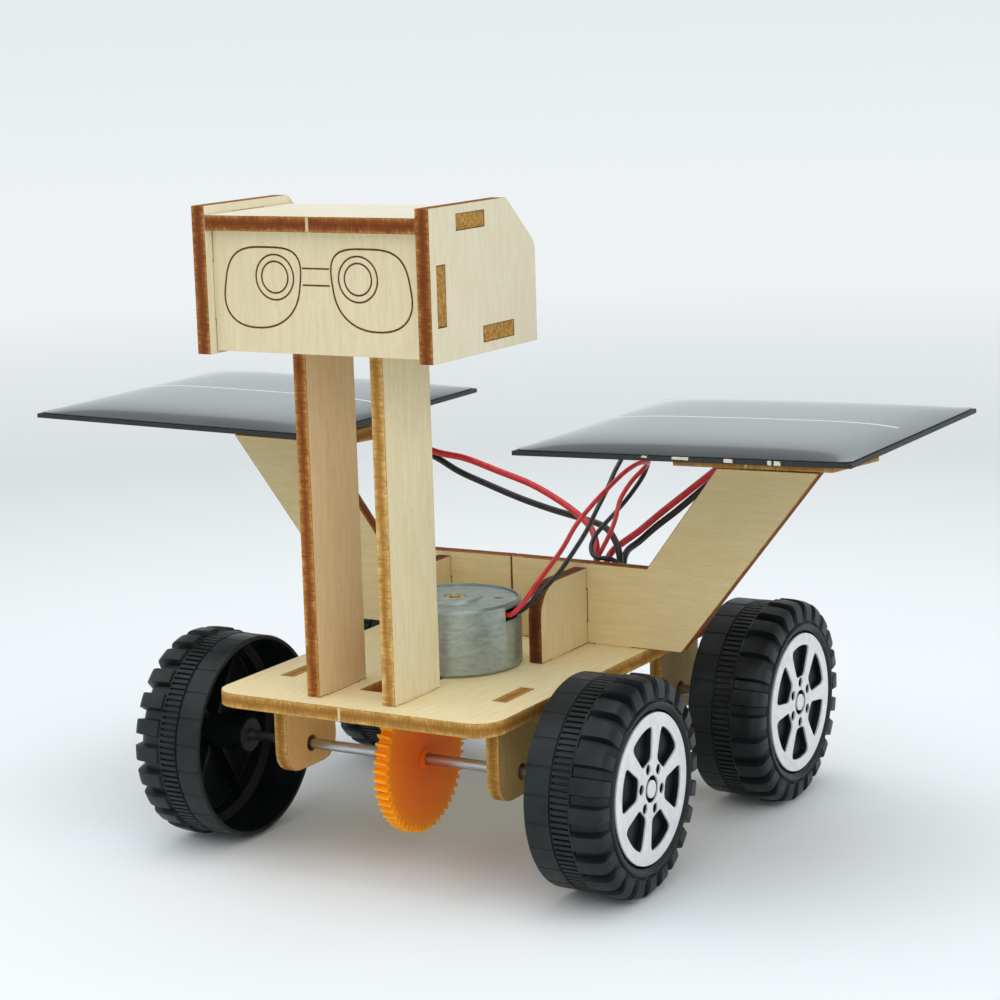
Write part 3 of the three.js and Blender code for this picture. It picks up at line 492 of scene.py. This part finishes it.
# ---------------------------------------------------------------- wires
# each lead: diameter, colour, and the points that it runs through, from its exit to its far end
WIRES = {
    "motor_wire_red": (0.9, "red", [
        (12.2, -13.9, 43.4), (13.7, -14.1, 43.6), (15.4, -13.2, 45.2), (16.8, -10.0, 48.6),
        (16.6, 0.0, 52.9), (15.6, 8.0, 56.3), (16.6, 12.6, 59.3), (18.5, 15.8, 62.2),
        (19.8, 20.0, 64.5), (20.5, 24.2, 65.4), (20.6, 27.6, 65.0), (18.8, 29.2, 63.4),
        (16.6, 28.6, 61.0), (15.6, 25.6, 57.9), (16.6, 21.4, 54.8), (17.0, 17.8, 52.2),
        (16.4, 15.9, 49.8), (15.5, 15.2, 47.8), (15.2, 15.1, 46.2)]),
    "motor_wire_black": (0.9, "black", [
        (12.2, -11.6, 43.4), (13.9, -11.6, 43.6), (16.0, -11.8, 45.0), (18.3, -10.6, 47.6),
        (18.3, -4.6, 49.5), (18.0, 1.0, 51.8), (17.0, 9.0, 54.8), (16.2, 14.4, 57.5),
        (16.1, 19.5, 61.1), (16.0, 23.5, 64.3), (16.4, 27.2, 66.8), (17.6, 30.4, 67.2),
        (18.5, 32.0, 65.2), (18.0, 31.4, 62.4), (16.4, 28.9, 58.7), (14.9, 25.6, 55.7),
        (14.4, 20.8, 53.6), (14.3, 17.4, 52.1), (14.6, 15.2, 50.4), (15.8, 13.9, 49.2),
        (17.4, 13.5, 48.9), (18.9, 13.8, 48.9), (20.1, 14.5, 48.3), (20.7, 15.2, 47.2),
        (20.8, 15.5, 46.2)]),
    "left_panel_wire_red": (1.3, "red", [
        (-40.0, 30.0, 75.1), (-39.4, 30.0, 70.6), (-36.0, 30.0, 66.8), (-28.6, 30.0, 63.9),
        (-21.1, 29.5, 63.0), (-13.3, 29.0, 61.0), (-5.5, 28.0, 59.1), (0.7, 27.0, 56.8),
        (6.6, 25.0, 54.4), (10.7, 22.5, 52.5), (12.9, 20.2, 50.6), (14.1, 18.4, 48.4),
        (14.3, 17.6, 46.2)]),
    "left_panel_wire_black": (1.3, "black", [
        (-43.0, 31.6, 75.1), (-42.4, 31.6, 70.4), (-37.6, 31.4, 65.6), (-29.2, 31.2, 62.6),
        (-23.6, 31.0, 60.0), (-17.1, 31.0, 57.8), (-9.0, 30.4, 55.5), (-1.3, 29.0, 54.1),
        (6.8, 26.8, 53.2), (13.0, 23.8, 52.6), (17.2, 20.2, 50.8), (19.3, 17.8, 48.4),
        (19.8, 17.0, 46.2)]),
    "right_panel_wire_red": (1.3, "red", [
        (41.0, 29.6, 75.1), (40.0, 29.6, 70.4), (36.4, 29.2, 66.2), (29.5, 28.6, 60.5),
        (23.1, 27.4, 55.3), (19.6, 25.2, 52.0), (17.6, 22.6, 50.2), (16.6, 20.3, 49.0),
        (16.3, 18.6, 47.7), (16.3, 17.9, 46.2)]),
    "right_panel_wire_black": (1.3, "black", [
        (44.0, 31.6, 75.1), (42.8, 31.6, 70.0), (38.2, 31.2, 65.8), (33.4, 30.2, 62.2),
        (29.4, 29.6, 58.8), (25.7, 28.8, 55.6), (21.7, 27.4, 52.3), (19.6, 25.2, 50.0),
        (18.7, 22.6, 48.9), (19.0, 20.2, 47.8), (19.4, 18.9, 46.2)]),
}


def smooth_route(points, per_span=8):
    """The centripetal Catmull-Rom curve through the points, as a dense list."""
    pts = [np.array(p, float) for p in points]
    pts = [2 * pts[0] - pts[1], *pts, 2 * pts[-1] - pts[-2]]
    out = []
    for i in range(1, len(pts) - 2):
        p0, p1, p2, p3 = pts[i - 1:i + 3]
        t0 = 0.0
        t1 = t0 + np.linalg.norm(p1 - p0) ** 0.5
        t2 = t1 + np.linalg.norm(p2 - p1) ** 0.5
        t3 = t2 + np.linalg.norm(p3 - p2) ** 0.5
        for t in np.linspace(t1, t2, per_span, endpoint=False):
            a1 = (t1 - t) / (t1 - t0) * p0 + (t - t0) / (t1 - t0) * p1
            a2 = (t2 - t) / (t2 - t1) * p1 + (t - t1) / (t2 - t1) * p2
            a3 = (t3 - t) / (t3 - t2) * p2 + (t - t2) / (t3 - t2) * p3
            b1 = (t2 - t) / (t2 - t0) * a1 + (t - t0) / (t2 - t0) * a2
            b2 = (t3 - t) / (t3 - t1) * a2 + (t - t1) / (t3 - t1) * a3
            out.append((t2 - t) / (t2 - t1) * b1 + (t - t1) / (t2 - t1) * b2)
    out.append(pts[-2])
    return np.array(out)


def make_wires():
    coats = {
        "red": insulation("insulation_red", srgb(188, 26, 34), srgb(214, 48, 54)),
        "black": insulation("insulation_black", srgb(22, 22, 24), srgb(40, 40, 42)),
    }
    for name, (diameter, colour, points) in WIRES.items():
        route = smooth_route(points)
        curve = bpy.data.curves.new(f"{name}_line", "CURVE")
        curve.dimensions = "3D"
        curve.bevel_depth = diameter / 2 * MM
        curve.bevel_resolution = 5
        curve.use_fill_caps = True
        spline = curve.splines.new("POLY")
        spline.points.add(len(route) - 1)
        for point, at in zip(spline.points, route):
            point.co = (*(at * MM), 1)
        curve.materials.append(coats[colour])
        wire = bpy.data.objects.new(f"{name}_lead", curve)
        bpy.context.scene.collection.objects.link(wire)
        spline.use_smooth = True
        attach(wire, "chassis")
        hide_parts(name)


make_wires()


# ---------------------------------------------------------------- plywood pieces
# veneer colours: the paler ones for the head's sides and top are painted light, and the darker, pinker one
# for the left column is painted shade
LIT_PALE = srgb(235, 227, 201)
LIT_TOP_CREAM = srgb(227, 222, 206)
CREAM = srgb(226, 213, 180)
DECK_CREAM = srgb(243, 229, 186)
WARM_CREAM = srgb(238, 226, 190)
TAN = srgb(236, 217, 168)
GUSSET_TAN = srgb(230, 210, 164)
BRACKET_TAN = srgb(226, 190, 124)
SHADED_PINKISH = srgb(226, 199, 158)

# name: thickness axis, mid-plane, grain axis, veneer colour, burn, and the nick left by a holding tab; the
# veneer colour holds painted light on the head's sides and top and painted shade on the left column
PLY_SHEETS = {
    "chassis_plate": (Z, DECK_TOP - PLY / 2, Y, DECK_CREAM, "gold", (X, -1.4)),
    "neck_column_left": (X, COLUMN_X["left"], Z, SHADED_PINKISH, "amber", None),
    "neck_column_right": (X, COLUMN_X["right"], Z, WARM_CREAM, "honey", None),
    "head_side_left": (X, -HEAD_HALF + PLY / 2, Z, LIT_PALE, "dark", None),
    "head_side_right": (X, HEAD_HALF - PLY / 2, Z, LIT_PALE, "dark", None),
    "head_top_panel": (Z, HEAD_TOP + PLY / 2, X, LIT_TOP_CREAM, "dark", (X, -0.1)),
    "head_face_panel": (Y, FACE_Y + PLY / 2, Z, CREAM, "dark", (X, 3.2)),
    "head_bottom_panel": (Z, HEAD_FLOOR + PLY / 2, X, CREAM, "dark", None),
}
for side, sign in SIDES.items():
    for end in AXLE_Y:
        PLY_SHEETS[f"{end}_axle_bracket_{side}"] = (X, sign * BRACKET_X, Z, BRACKET_TAN, "gold", None)
    PLY_SHEETS[f"wing_half_{side}"] = (Y, WING_Y + PLY / 2, X, TAN, "dark", None)
    PLY_SHEETS[f"wing_gusset_{side}"] = (X, sign * GUSSET_X, Z, GUSSET_TAN, "deep", None)


ARRIS = {
    "deep": scorch("deep_arris", srgb(84, 44, 16), srgb(140, 90, 42)),
    "dark": scorch("scorched_arris", srgb(112, 64, 24), srgb(184, 132, 70)),
    "gold": scorch("browned_arris", srgb(150, 102, 42), srgb(200, 158, 90)),
    "amber": scorch("amber_arris", srgb(128, 74, 28), srgb(196, 146, 84)),
    "honey": scorch("honey_arris", srgb(160, 112, 52), srgb(212, 172, 106)),
}


def stack_turn(side):
    """The slight outward roll of a panel and everything under it."""
    return Matrix.Rotation(math.radians(-side * PANEL_ROLL), 3, "Y")


def dress_plywood():
    for number, (name, (axis, middle, grain, face, burn, nick)) in enumerate(sorted(PLY_SHEETS.items())):
        dress(name, plywood(name, axis, middle, grain, face, 1.7 * number, burn, nick), ARRIS[burn])
    for side, sign in SIDES.items():
        axis = stack_turn(sign) @ Vector(Z)
        pivot = Vector((sign * PANEL_PIVOT[0], PANEL_PIVOT[1], PANEL_PIVOT[2]))
        middle = (pivot + axis * (GLUE + PLY / 2)).dot(axis)
        name = f"panel_mount_{side}"
        dress(name, plywood(name, axis, middle, X, TAN, 60 + sign, "gold", (X, sign * 49.4)), ARRIS["gold"])


def dress(name, material, arris=None, bevel=0.12, smooth=False):
    """Gives a CAD node its material and a small worn arris; smooth is for round pieces."""
    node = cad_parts[name]
    node.data.materials.clear()
    node.data.materials.append(material)
    if arris:
        node.data.materials.append(arris)
    weld = node.modifiers.new("weld", "WELD")
    weld.merge_threshold = 1e-6
    edging = node.modifiers.new("arris", "BEVEL")
    edging.width = bevel * MM
    edging.segments = 2
    edging.limit_method = "ANGLE"
    edging.angle_limit = math.radians(32)
    edging.use_clamp_overlap = True
    edging.harden_normals = False
    if arris:
        edging.material = 1
    if smooth:
        for face in node.data.polygons:
            face.use_smooth = True
        node.modifiers.new("even_shading", "WEIGHTED_NORMAL").mode = "FACE_AREA_WITH_ANGLE"


dress_plywood()


# ---------------------------------------------------------------- wheels
def lug_share(angle):
    """1 on a lug's top, 0 between the lugs."""
    pitch = 2 * math.pi / LUGS
    off = abs((angle / pitch + 0.5) % 1 - 0.5)
    return min(1.0, max(0.0, (0.34 - off) / (0.34 - 0.27)))


def rib_cut(angle):
    """1 in the groove between two of the fine ribs, 0 on a rib."""
    pitch = 2 * math.pi / RIBS
    off = abs((angle / pitch + 0.5) % 1 - 0.5)
    return 1 - min(1.0, max(0.0, (0.5 - off - 0.12) / 0.10)) if off > 0.2 else 0.0


def line_cut(angle):
    """1 in the thin line across the plain band, 0 elsewhere."""
    pitch = 2 * math.pi / LUGS
    off = abs((angle / pitch) % 1 - 0.5) * pitch * TYRE_RADIUS
    return 1 - min(1.0, max(0.0, (off - 0.12) / 0.10))


def wheel_angles():
    """Every angle at which the tread's section changes."""
    pitch = 2 * math.pi / LUGS
    found = []
    for k in range(LUGS):
        found += [pitch * (k + f) for f in (-0.34, -0.27, -0.14, 0, 0.14, 0.27, 0.34)]
        found += [pitch * (k + 0.5) + d / TYRE_RADIUS for d in (-0.22, -0.12, 0.12, 0.22)]
    rib = 2 * math.pi / RIBS
    for k in range(RIBS):
        found += [rib * (k + f) for f in (-0.38, -0.28, 0.28, 0.38)]
    found = sorted(a % (2 * math.pi) for a in found)
    return [a for i, a in enumerate(found) if i == 0 or a - found[i - 1] > 2e-4]


def plain(x, r):
    return lambda a: (x, r)


def lugged(top, valley):
    """A ring that runs at top on the lugs and at valley between them."""
    def ring(a):
        share = lug_share(a)
        return tuple(v + (t - v) * share for t, v in zip(top, valley))
    return ring


def ribbed(x, r, depth):
    return lambda a: (x, r - depth * rib_cut(a))


def lined(x, r, depth):
    return lambda a: (x, r - depth * line_cut(a))


def wheel_mesh():
    """Hub, web, rim and tread as one turned section, with six stiffening spokes inside."""
    rings = [
        plain(12.4, 0), plain(12.4, 1.12), plain(1.5, 1.12), plain(1.5, 3.0), plain(1.7, 3.2),
        plain(12.3, 3.2), plain(12.5, 3.5), plain(12.5, 16.2), plain(12.3, 16.4),
        plain(9.9, 16.4), plain(9.0, 17.9), plain(0.2, 17.9), plain(0.0, 18.05), plain(0.0, 18.45),
        plain(0.12, 18.65), plain(0.35, 18.75), lined(0.4, 18.75, 0.14),
        lined(4.75, 18.75, 0.14), plain(4.8, 18.75),
        plain(4.95, 18.5), plain(5.05, 18.45), plain(5.15, 18.6),
        plain(5.25, 18.8), ribbed(5.35, 18.8, 0.42), ribbed(8.45, 18.8, 0.42), plain(8.5, 18.75),
        lugged((8.7, 18.75), (8.7, 18.7)), lugged((8.8, 18.8), (8.85, 18.3)),
        lugged((8.95, 19.2), (9.15, 18.2)), lugged((9.2, 19.38), (9.8, 18.1)),
        lugged((11.2, 19.38), (11.0, 18.0)), lugged((12.9, 19.2), (12.2, 17.8)),
        lugged((13.7, 18.95), (13.2, 17.4)),
        lugged((14.2, 18.5), (13.8, 16.9)), lugged((14.5, 17.9), (14.1, 16.4)),
        lugged((14.65, 17.1), (14.3, 16.0)), lugged((14.75, 16.2), (14.4, 15.7)),
        lugged((14.75, 15.6), (14.45, 15.5)), plain(14.35, 15.3), plain(14.4, 15.15),
        plain(14.75, 15.0), plain(14.9, 14.8), plain(14.9, 14.5), plain(14.75, 14.2),
        plain(14.5, 13.95), plain(14.4, 13.7), plain(13.5, 13.6), plain(13.3, 13.4), plain(13.3, 0),
    ]
    mesh = turned("wheel", rings, wheel_angles(), sharp=28)
    bm = bmesh.new()
    bm.from_mesh(mesh)
    for k in range(SPOKES):
        made = bmesh.ops.create_cube(bm, size=1.0)
        scale = Matrix.Diagonal((2.6, 0.8, 13.3, 1))
        turn = Matrix.Rotation(2 * math.pi * (k + 0.5) / SPOKES, 4, "X")
        put = turn @ Matrix.Translation((11.3, 0, 9.7)) @ scale
        bmesh.ops.transform(bm, matrix=Matrix.Scale(MM, 4) @ put, verts=made["verts"])
    bm.to_mesh(mesh)
    bm.free()
    return mesh


def disc_outlines(grow=0.0):
    """Six rounded windows, six small holes, and a ring gap round the hub cap."""
    outlines = [circle(DISC_RADIUS + grow, 160)]
    for k in range(SPOKES):
        middle = 2 * math.pi * k / SPOKES
        inner, outer = math.radians(19.5), math.radians(21.8)
        arc = [(11.0 - grow, -outer + 2 * outer * i / 8) for i in range(9)]
        corner = [(r * math.cos(middle + a), r * math.sin(middle + a))
                  for r, a in [(5.2 + grow, -inner), *arc, (5.2 + grow, inner)]]
        outlines.append(soften(corner, {0: 0.9, 1: 1.5, 9: 1.5, 10: 0.9}))
        outlines.append(circle(0.95 - grow, 20, 3.85 * math.cos(middle), 3.85 * math.sin(middle)))
    outlines.append(circle(2.4 - grow, 40))
    outlines.append(circle(1.55 + grow, 40))
    return outlines


def soften(points, radii, steps=5):
    """Rounds only the numbered corners."""
    out = []
    for i, here in enumerate(points):
        if i not in radii:
            out.append(here)
            continue
        here = Vector(here)
        before = Vector(points[i - 1]) - here
        after = Vector(points[(i + 1) % len(points)]) - here
        start = here + before.normalized() * min(radii[i], 0.95 * before.length)
        end = here + after.normalized() * min(radii[i], 0.95 * after.length)
        for k in range(steps + 1):
            t = k / steps
            p = start * (1 - t) ** 2 + here * 2 * t * (1 - t) + end * t ** 2
            out.append((p.x, p.y))
    return out


def make_wheels():
    black = wheel_plastic()
    silver = foil()
    wheel = wheel_mesh()
    disc = flat_plate("trim_disc", disc_outlines(), FOIL["thick"], FOIL["bevel"])
    spider = flat_plate("trim_spider", disc_outlines(0.06), SPIDER["thick"], SPIDER["bevel"])
    for end, y in AXLE_Y.items():
        for index, (side, sign) in enumerate(SIDES.items()):
            body = f"{end}_wheelset"
            centre = Vector((sign * WHEEL_INNER_X + AXLE_SHIFT, y, AXLE_Z))
            base = Matrix.Translation(centre * MM)
            if sign < 0:
                base = base @ Matrix.Rotation(math.pi, 4, "Z")
            add_object(f"{end}_wheel_{side}_moulding", wheel, black, body, base,
                       [f"{end}_wheel_{side}"])
            turn = math.radians(DISC_TURN[end][index] + 30)
            spin = Matrix.Rotation(math.pi / 2, 4, "Y") @ Matrix.Rotation(turn, 4, "Z")
            add_object(f"{end}_wheel_spider_{side}", spider, black, body,
                       base @ Matrix.Translation((SPIDER["at"] * MM, 0, 0)) @ spin)
            add_object(f"{end}_wheel_trim_{side}_foil", disc, silver, body,
                       base @ Matrix.Translation((FOIL["at"] * MM, 0, 0)) @ spin,
                       [f"{end}_wheel_trim_{side}"])


make_wheels()


# ---------------------------------------------------------------- solar panels
def dome_mesh():
    """A cast resin pillow: it climbs from its rim and levels out over the cells."""
    half = PANEL_SIZE / 2 - RESIN_INSET
    bands = [0, 0.12, 0.3, 0.6, 1, 1.5, 2.1, 2.8, 3.6, 4.5, 5.6, 7, 8.8, 11, 14, 18, 23]
    line = sorted({-half + b for b in bands} | {half - b for b in bands} | {0.0})
    corner = 1.4

    def height(x, y):
        rise_x = 1 - math.exp(-(half - abs(x)) / RESIN_REACH)
        rise_y = 1 - math.exp(-(half - abs(y)) / RESIN_REACH)
        crown = 0.12 * (1 - (x / half) ** 2) * (1 - (y / half) ** 2)
        return 0.15 + RESIN_RISE * rise_x * rise_y + crown

    def pulled(x, y):
        start = half - corner
        over_x, over_y = abs(x) - start, abs(y) - start
        if over_x > 0 and over_y > 0:
            squeeze = max(over_x, over_y) / math.hypot(over_x, over_y)
            x = math.copysign(start + over_x * squeeze, x)
            y = math.copysign(start + over_y * squeeze, y)
        return x, y

    n = len(line)
    verts, faces = [], []
    for layer in (0, 1):
        for y in line:
            for x in line:
                px, py = pulled(x, y)
                verts.append((px * MM, py * MM, (height(px, py) if layer else 0.0) * MM))

    def at(layer, j, i):
        return layer * n * n + j * n + i

    for j in range(n - 1):
        for i in range(n - 1):
            faces.append((at(1, j, i), at(1, j, i + 1), at(1, j + 1, i + 1), at(1, j + 1, i)))
            faces.append((at(0, j, i), at(0, j + 1, i), at(0, j + 1, i + 1), at(0, j, i + 1)))
    for i in range(n - 1):
        for a, b in ((at(0, 0, i), at(0, 0, i + 1)), (at(0, i + 1, 0), at(0, i, 0)),
                     (at(0, n - 1, i + 1), at(0, n - 1, i)), (at(0, i, n - 1), at(0, i + 1, n - 1))):
            faces.append((a, b, b + n * n, a + n * n))
    mesh = bpy.data.meshes.new("resin_dome")
    mesh.from_pydata(verts, [], faces)
    return finish_mesh(mesh, 60)


def make_panels():
    dome = dome_mesh()
    dome.materials.append(cells_under_resin("resin"))
    foam = moulded("foam", srgb(226, 224, 216), srgb(240, 238, 232), 0.85, 900.0)
    for side, sign in SIDES.items():
        turn = stack_turn(sign).to_4x4()
        pivot = Vector((sign * PANEL_PIVOT[0], PANEL_PIVOT[1], PANEL_PIVOT[2]))
        lay = Vector((sign * PANEL_CENTRE[0], PANEL_CENTRE[1], EPOXY_LOW)) - pivot
        matrix = Matrix.Translation(pivot * MM) @ turn @ Matrix.Translation(lay * MM)
        matrix = matrix @ Matrix.Rotation(math.radians(PANEL_TURN), 4, "Z")
        add_object(f"solar_resin_{side}", dome, None, "chassis", matrix, [f"solar_epoxy_{side}"])
        dress(f"solar_board_{side}", board_black(), bevel=0.06)
        dress(f"foam_pad_{side}", foam, bevel=0.5)


make_panels()


# ---------------------------------------------------------------- engraving on the head
def ribbon(bm, points, width, closed=True):
    """A flat strip along a line of (x, z) points, standing on the face panel's front."""
    count = len(points)
    rows = []
    for i, here in enumerate(points):
        before = Vector(points[i - 1]) if closed or i else Vector(here)
        after = Vector(points[(i + 1) % count]) if closed or i < count - 1 else Vector(here)
        along = (after - before).normalized()
        side = Vector((-along.y, along.x)) * width / 2
        rows.append([bm.verts.new((p.x * MM, y * MM, p.y * MM)) for p, y in (
            (Vector(here) - side, FACE_Y + 0.02), (Vector(here) - side * 0.8, FACE_Y - 0.035),
            (Vector(here) + side * 0.8, FACE_Y - 0.035), (Vector(here) + side, FACE_Y + 0.02))])
    for i in range(count if closed else count - 1):
        a, b = rows[i], rows[(i + 1) % count]
        for k in range(4):
            bm.faces.new((a[k], a[(k + 1) % 4], b[(k + 1) % 4], b[k]))
    if not closed:
        bm.faces.new(rows[0])
        bm.faces.new(reversed(rows[-1]))


def lens_outline(sign):
    """A rounded lens that leans outward toward its foot."""
    points = []
    for i in range(72):
        a = 2 * math.pi * i / 72
        c, d = math.cos(a), math.sin(a)
        power = 2 / (3.4 if d > 0 else 2.3)
        x = math.copysign(abs(c) ** power, c) * 7.6
        z = 105.6 + math.copysign(abs(d) ** power, d) * (7.0 if d > 0 else 6.6)
        points.append((sign * (10.9 + x + 0.16 * (106 - z)), z))
    return points


def make_engraving():
    """Plain goggles: two rounded lenses, each with a double ring, and a two-line bridge."""
    bm = bmesh.new()
    for sign in (-1, 1):
        ribbon(bm, lens_outline(sign), 0.36)
        for radius in (3.8, 2.65):
            ribbon(bm, circle(radius, 56, sign * 8.3, 107.6), 0.34)
    for z in (109.2, 106.4):
        ribbon(bm, [(-2.7 + 5.4 * i / 6, z) for i in range(7)], 0.32, closed=False)
    mesh = bpy.data.meshes.new("goggles_engraving")
    bm.to_mesh(mesh)
    bm.free()
    finish_mesh(mesh)
    add_object("goggles_engraving", mesh, scorch("engraved_line", srgb(76, 44, 16), srgb(112, 72, 32)),
               "chassis")


make_engraving()


# ---------------------------------------------------------------- motor, axles and gear
def make_motor():
    grey = zinc()
    steel = metal("axle_steel", srgb(150, 152, 156), srgb(214, 215, 218), 0.28, (60, 900, 900))
    yellow = metal("brass", srgb(176, 136, 70), srgb(220, 184, 110), 0.3)
    copper = metal("copper", srgb(150, 84, 48), srgb(206, 128, 82), 0.32)
    core = metal("core_steel", srgb(84, 86, 90), srgb(130, 132, 136), 0.45, (100, 100, 4000))
    ferrite = moulded("ferrite", srgb(42, 42, 44), srgb(62, 62, 64), 0.7)
    orange = gear_plastic()
    for name in ("motor_lower_bushing", "motor_upper_bushing", "commutator", "worm"):
        dress(name, yellow, bevel=0.06, smooth=name != "worm")
    for name in ("rotor_coil_1", "rotor_coil_2", "rotor_coil_3", "brush_left", "brush_right"):
        dress(name, copper, bevel=0.1)
    dress("rotor_core", core, bevel=0.05)
    dress("motor_magnet_ring", ferrite, bevel=0.1, smooth=True)
    for name in ("motor_shaft", "front_axle", "rear_axle"):
        dress(name, steel, bevel=0.15, smooth=True)
    dress("drive_gear", orange, bevel=0.08)
    dress("motor_can", grey, bevel=0.1, smooth=True)
    dress("motor_end_plate", grey, bevel=0.1, smooth=True)
    for colour, low, high in (
            ("red", srgb(150, 16, 22), srgb(180, 28, 34)),
            ("black", srgb(20, 20, 22), srgb(36, 36, 38))):
        dress(f"splice_cap_{colour}", moulded(f"vinyl_{colour}", low, high, 0.45), bevel=0.3)


make_motor()


# ---------------------------------------------------------------- stage
def floor_paper():
    """Plain paper near the model, which turns into an even glow with distance."""
    s = Shader("floor_paper", roughness=0.85, Specular_IOR_Level=0.2)
    here = s.place()
    reach = s.node("ShaderNodeVectorMath", {0: here}, operation="LENGTH").outputs["Value"]
    paper = s.ramp(s.noise(here, 3.0), [(0.3, srgb(232, 236, 238)), (0.7, srgb(234, 238, 240))])
    s.colour(s.mix(s.ramp(reach, [(0.12, 0.0), (0.42, 1.0)]), paper, srgb(205, 208, 208)))
    far = s.ramp(s.math("MULTIPLY", reach, 0.5), [(0.22, 0.0), (0.48, 1.0)])
    height = s.node("ShaderNodeSeparateXYZ", {0: here}).outputs[2]
    pale = s.ramp(height, [(0.0, srgb(239, 243, 245)), (0.25, srgb(224, 232, 234))])
    glow = s.node("ShaderNodeEmission", {"Color": pale})
    blend = s.node("ShaderNodeMixShader", {0: far, 1: s.bsdf.outputs[0], 2: glow.outputs[0]})
    s.tree.links.new(blend.outputs[0], s.tree.nodes["Material Output"].inputs[0])
    return s.material


def make_floor():
    """A pale paper bowl: flat where the model stands, and rising far away so that no horizon shows."""
    flat, bend, wall, count = 1.35, 0.45, 0.85, 64
    profile = [(0.25, 0), (0.5, 0), (1.0, 0), (flat, 0.0)]
    profile += [(flat + bend * math.sin(a), bend - bend * math.cos(a))
                for a in (0.26, 0.52, 0.79, 1.05, 1.31, 1.57)]
    profile.append((flat + bend, wall))
    verts = [(r * math.cos(2 * math.pi * i / count), r * math.sin(2 * math.pi * i / count), z)
             for r, z in profile for i in range(count)]
    faces = [list(range(count))]
    for j in range(len(profile) - 1):
        for i in range(count):
            k = (i + 1) % count
            faces.append((j * count + i, (j + 1) * count + i, (j + 1) * count + k, j * count + k))
    mesh = bpy.data.meshes.new("floor")
    mesh.from_pydata(verts, [], faces)
    for face in mesh.polygons:
        face.use_smooth = True
    floor = bpy.data.objects.new("floor", mesh)
    bpy.context.scene.collection.objects.link(floor)
    mesh.materials.append(floor_paper())


def make_world():
    """Soft white light from all round, weaker from behind the model."""
    world = bpy.data.worlds.new("studio")
    world.use_nodes = True
    back = world.node_tree.nodes["Background"]
    back.inputs[0].default_value = (0.97, 0.985, 1.0, 1)
    nodes, links = world.node_tree.nodes, world.node_tree.links
    toward = nodes.new("ShaderNodeSeparateXYZ")
    links.new(nodes.new("ShaderNodeTexCoord").outputs["Generated"], toward.inputs[0])
    fade = nodes.new("ShaderNodeMapRange")
    links.new(toward.outputs[1], fade.inputs[0])
    for slot, value in enumerate((-0.1, 0.6, 1.35, 0.5), 1):
        fade.inputs[slot].default_value = value
    links.new(fade.outputs[0], back.inputs[1])
    bpy.context.scene.world = world


def make_lamps():
    aim = Vector((0.0, 0.0, 0.05))
    for name, at, power in (("side", (0.95, -0.9, 0.8), 1.6), ("top", (0.0, 0.1, 1.5), 3.8)):
        data = bpy.data.lights.new(name, "AREA")
        data.size = 0.9
        data.energy = power
        lamp = bpy.data.objects.new(name, data)
        bpy.context.scene.collection.objects.link(lamp)
        lamp.location = at
        lamp.rotation_mode = "QUATERNION"
        lamp.rotation_quaternion = (aim - Vector(at)).to_track_quat("-Z", "Y")


make_floor()
make_world()
make_lamps()
bpy.context.scene.view_settings.view_transform = "Standard"
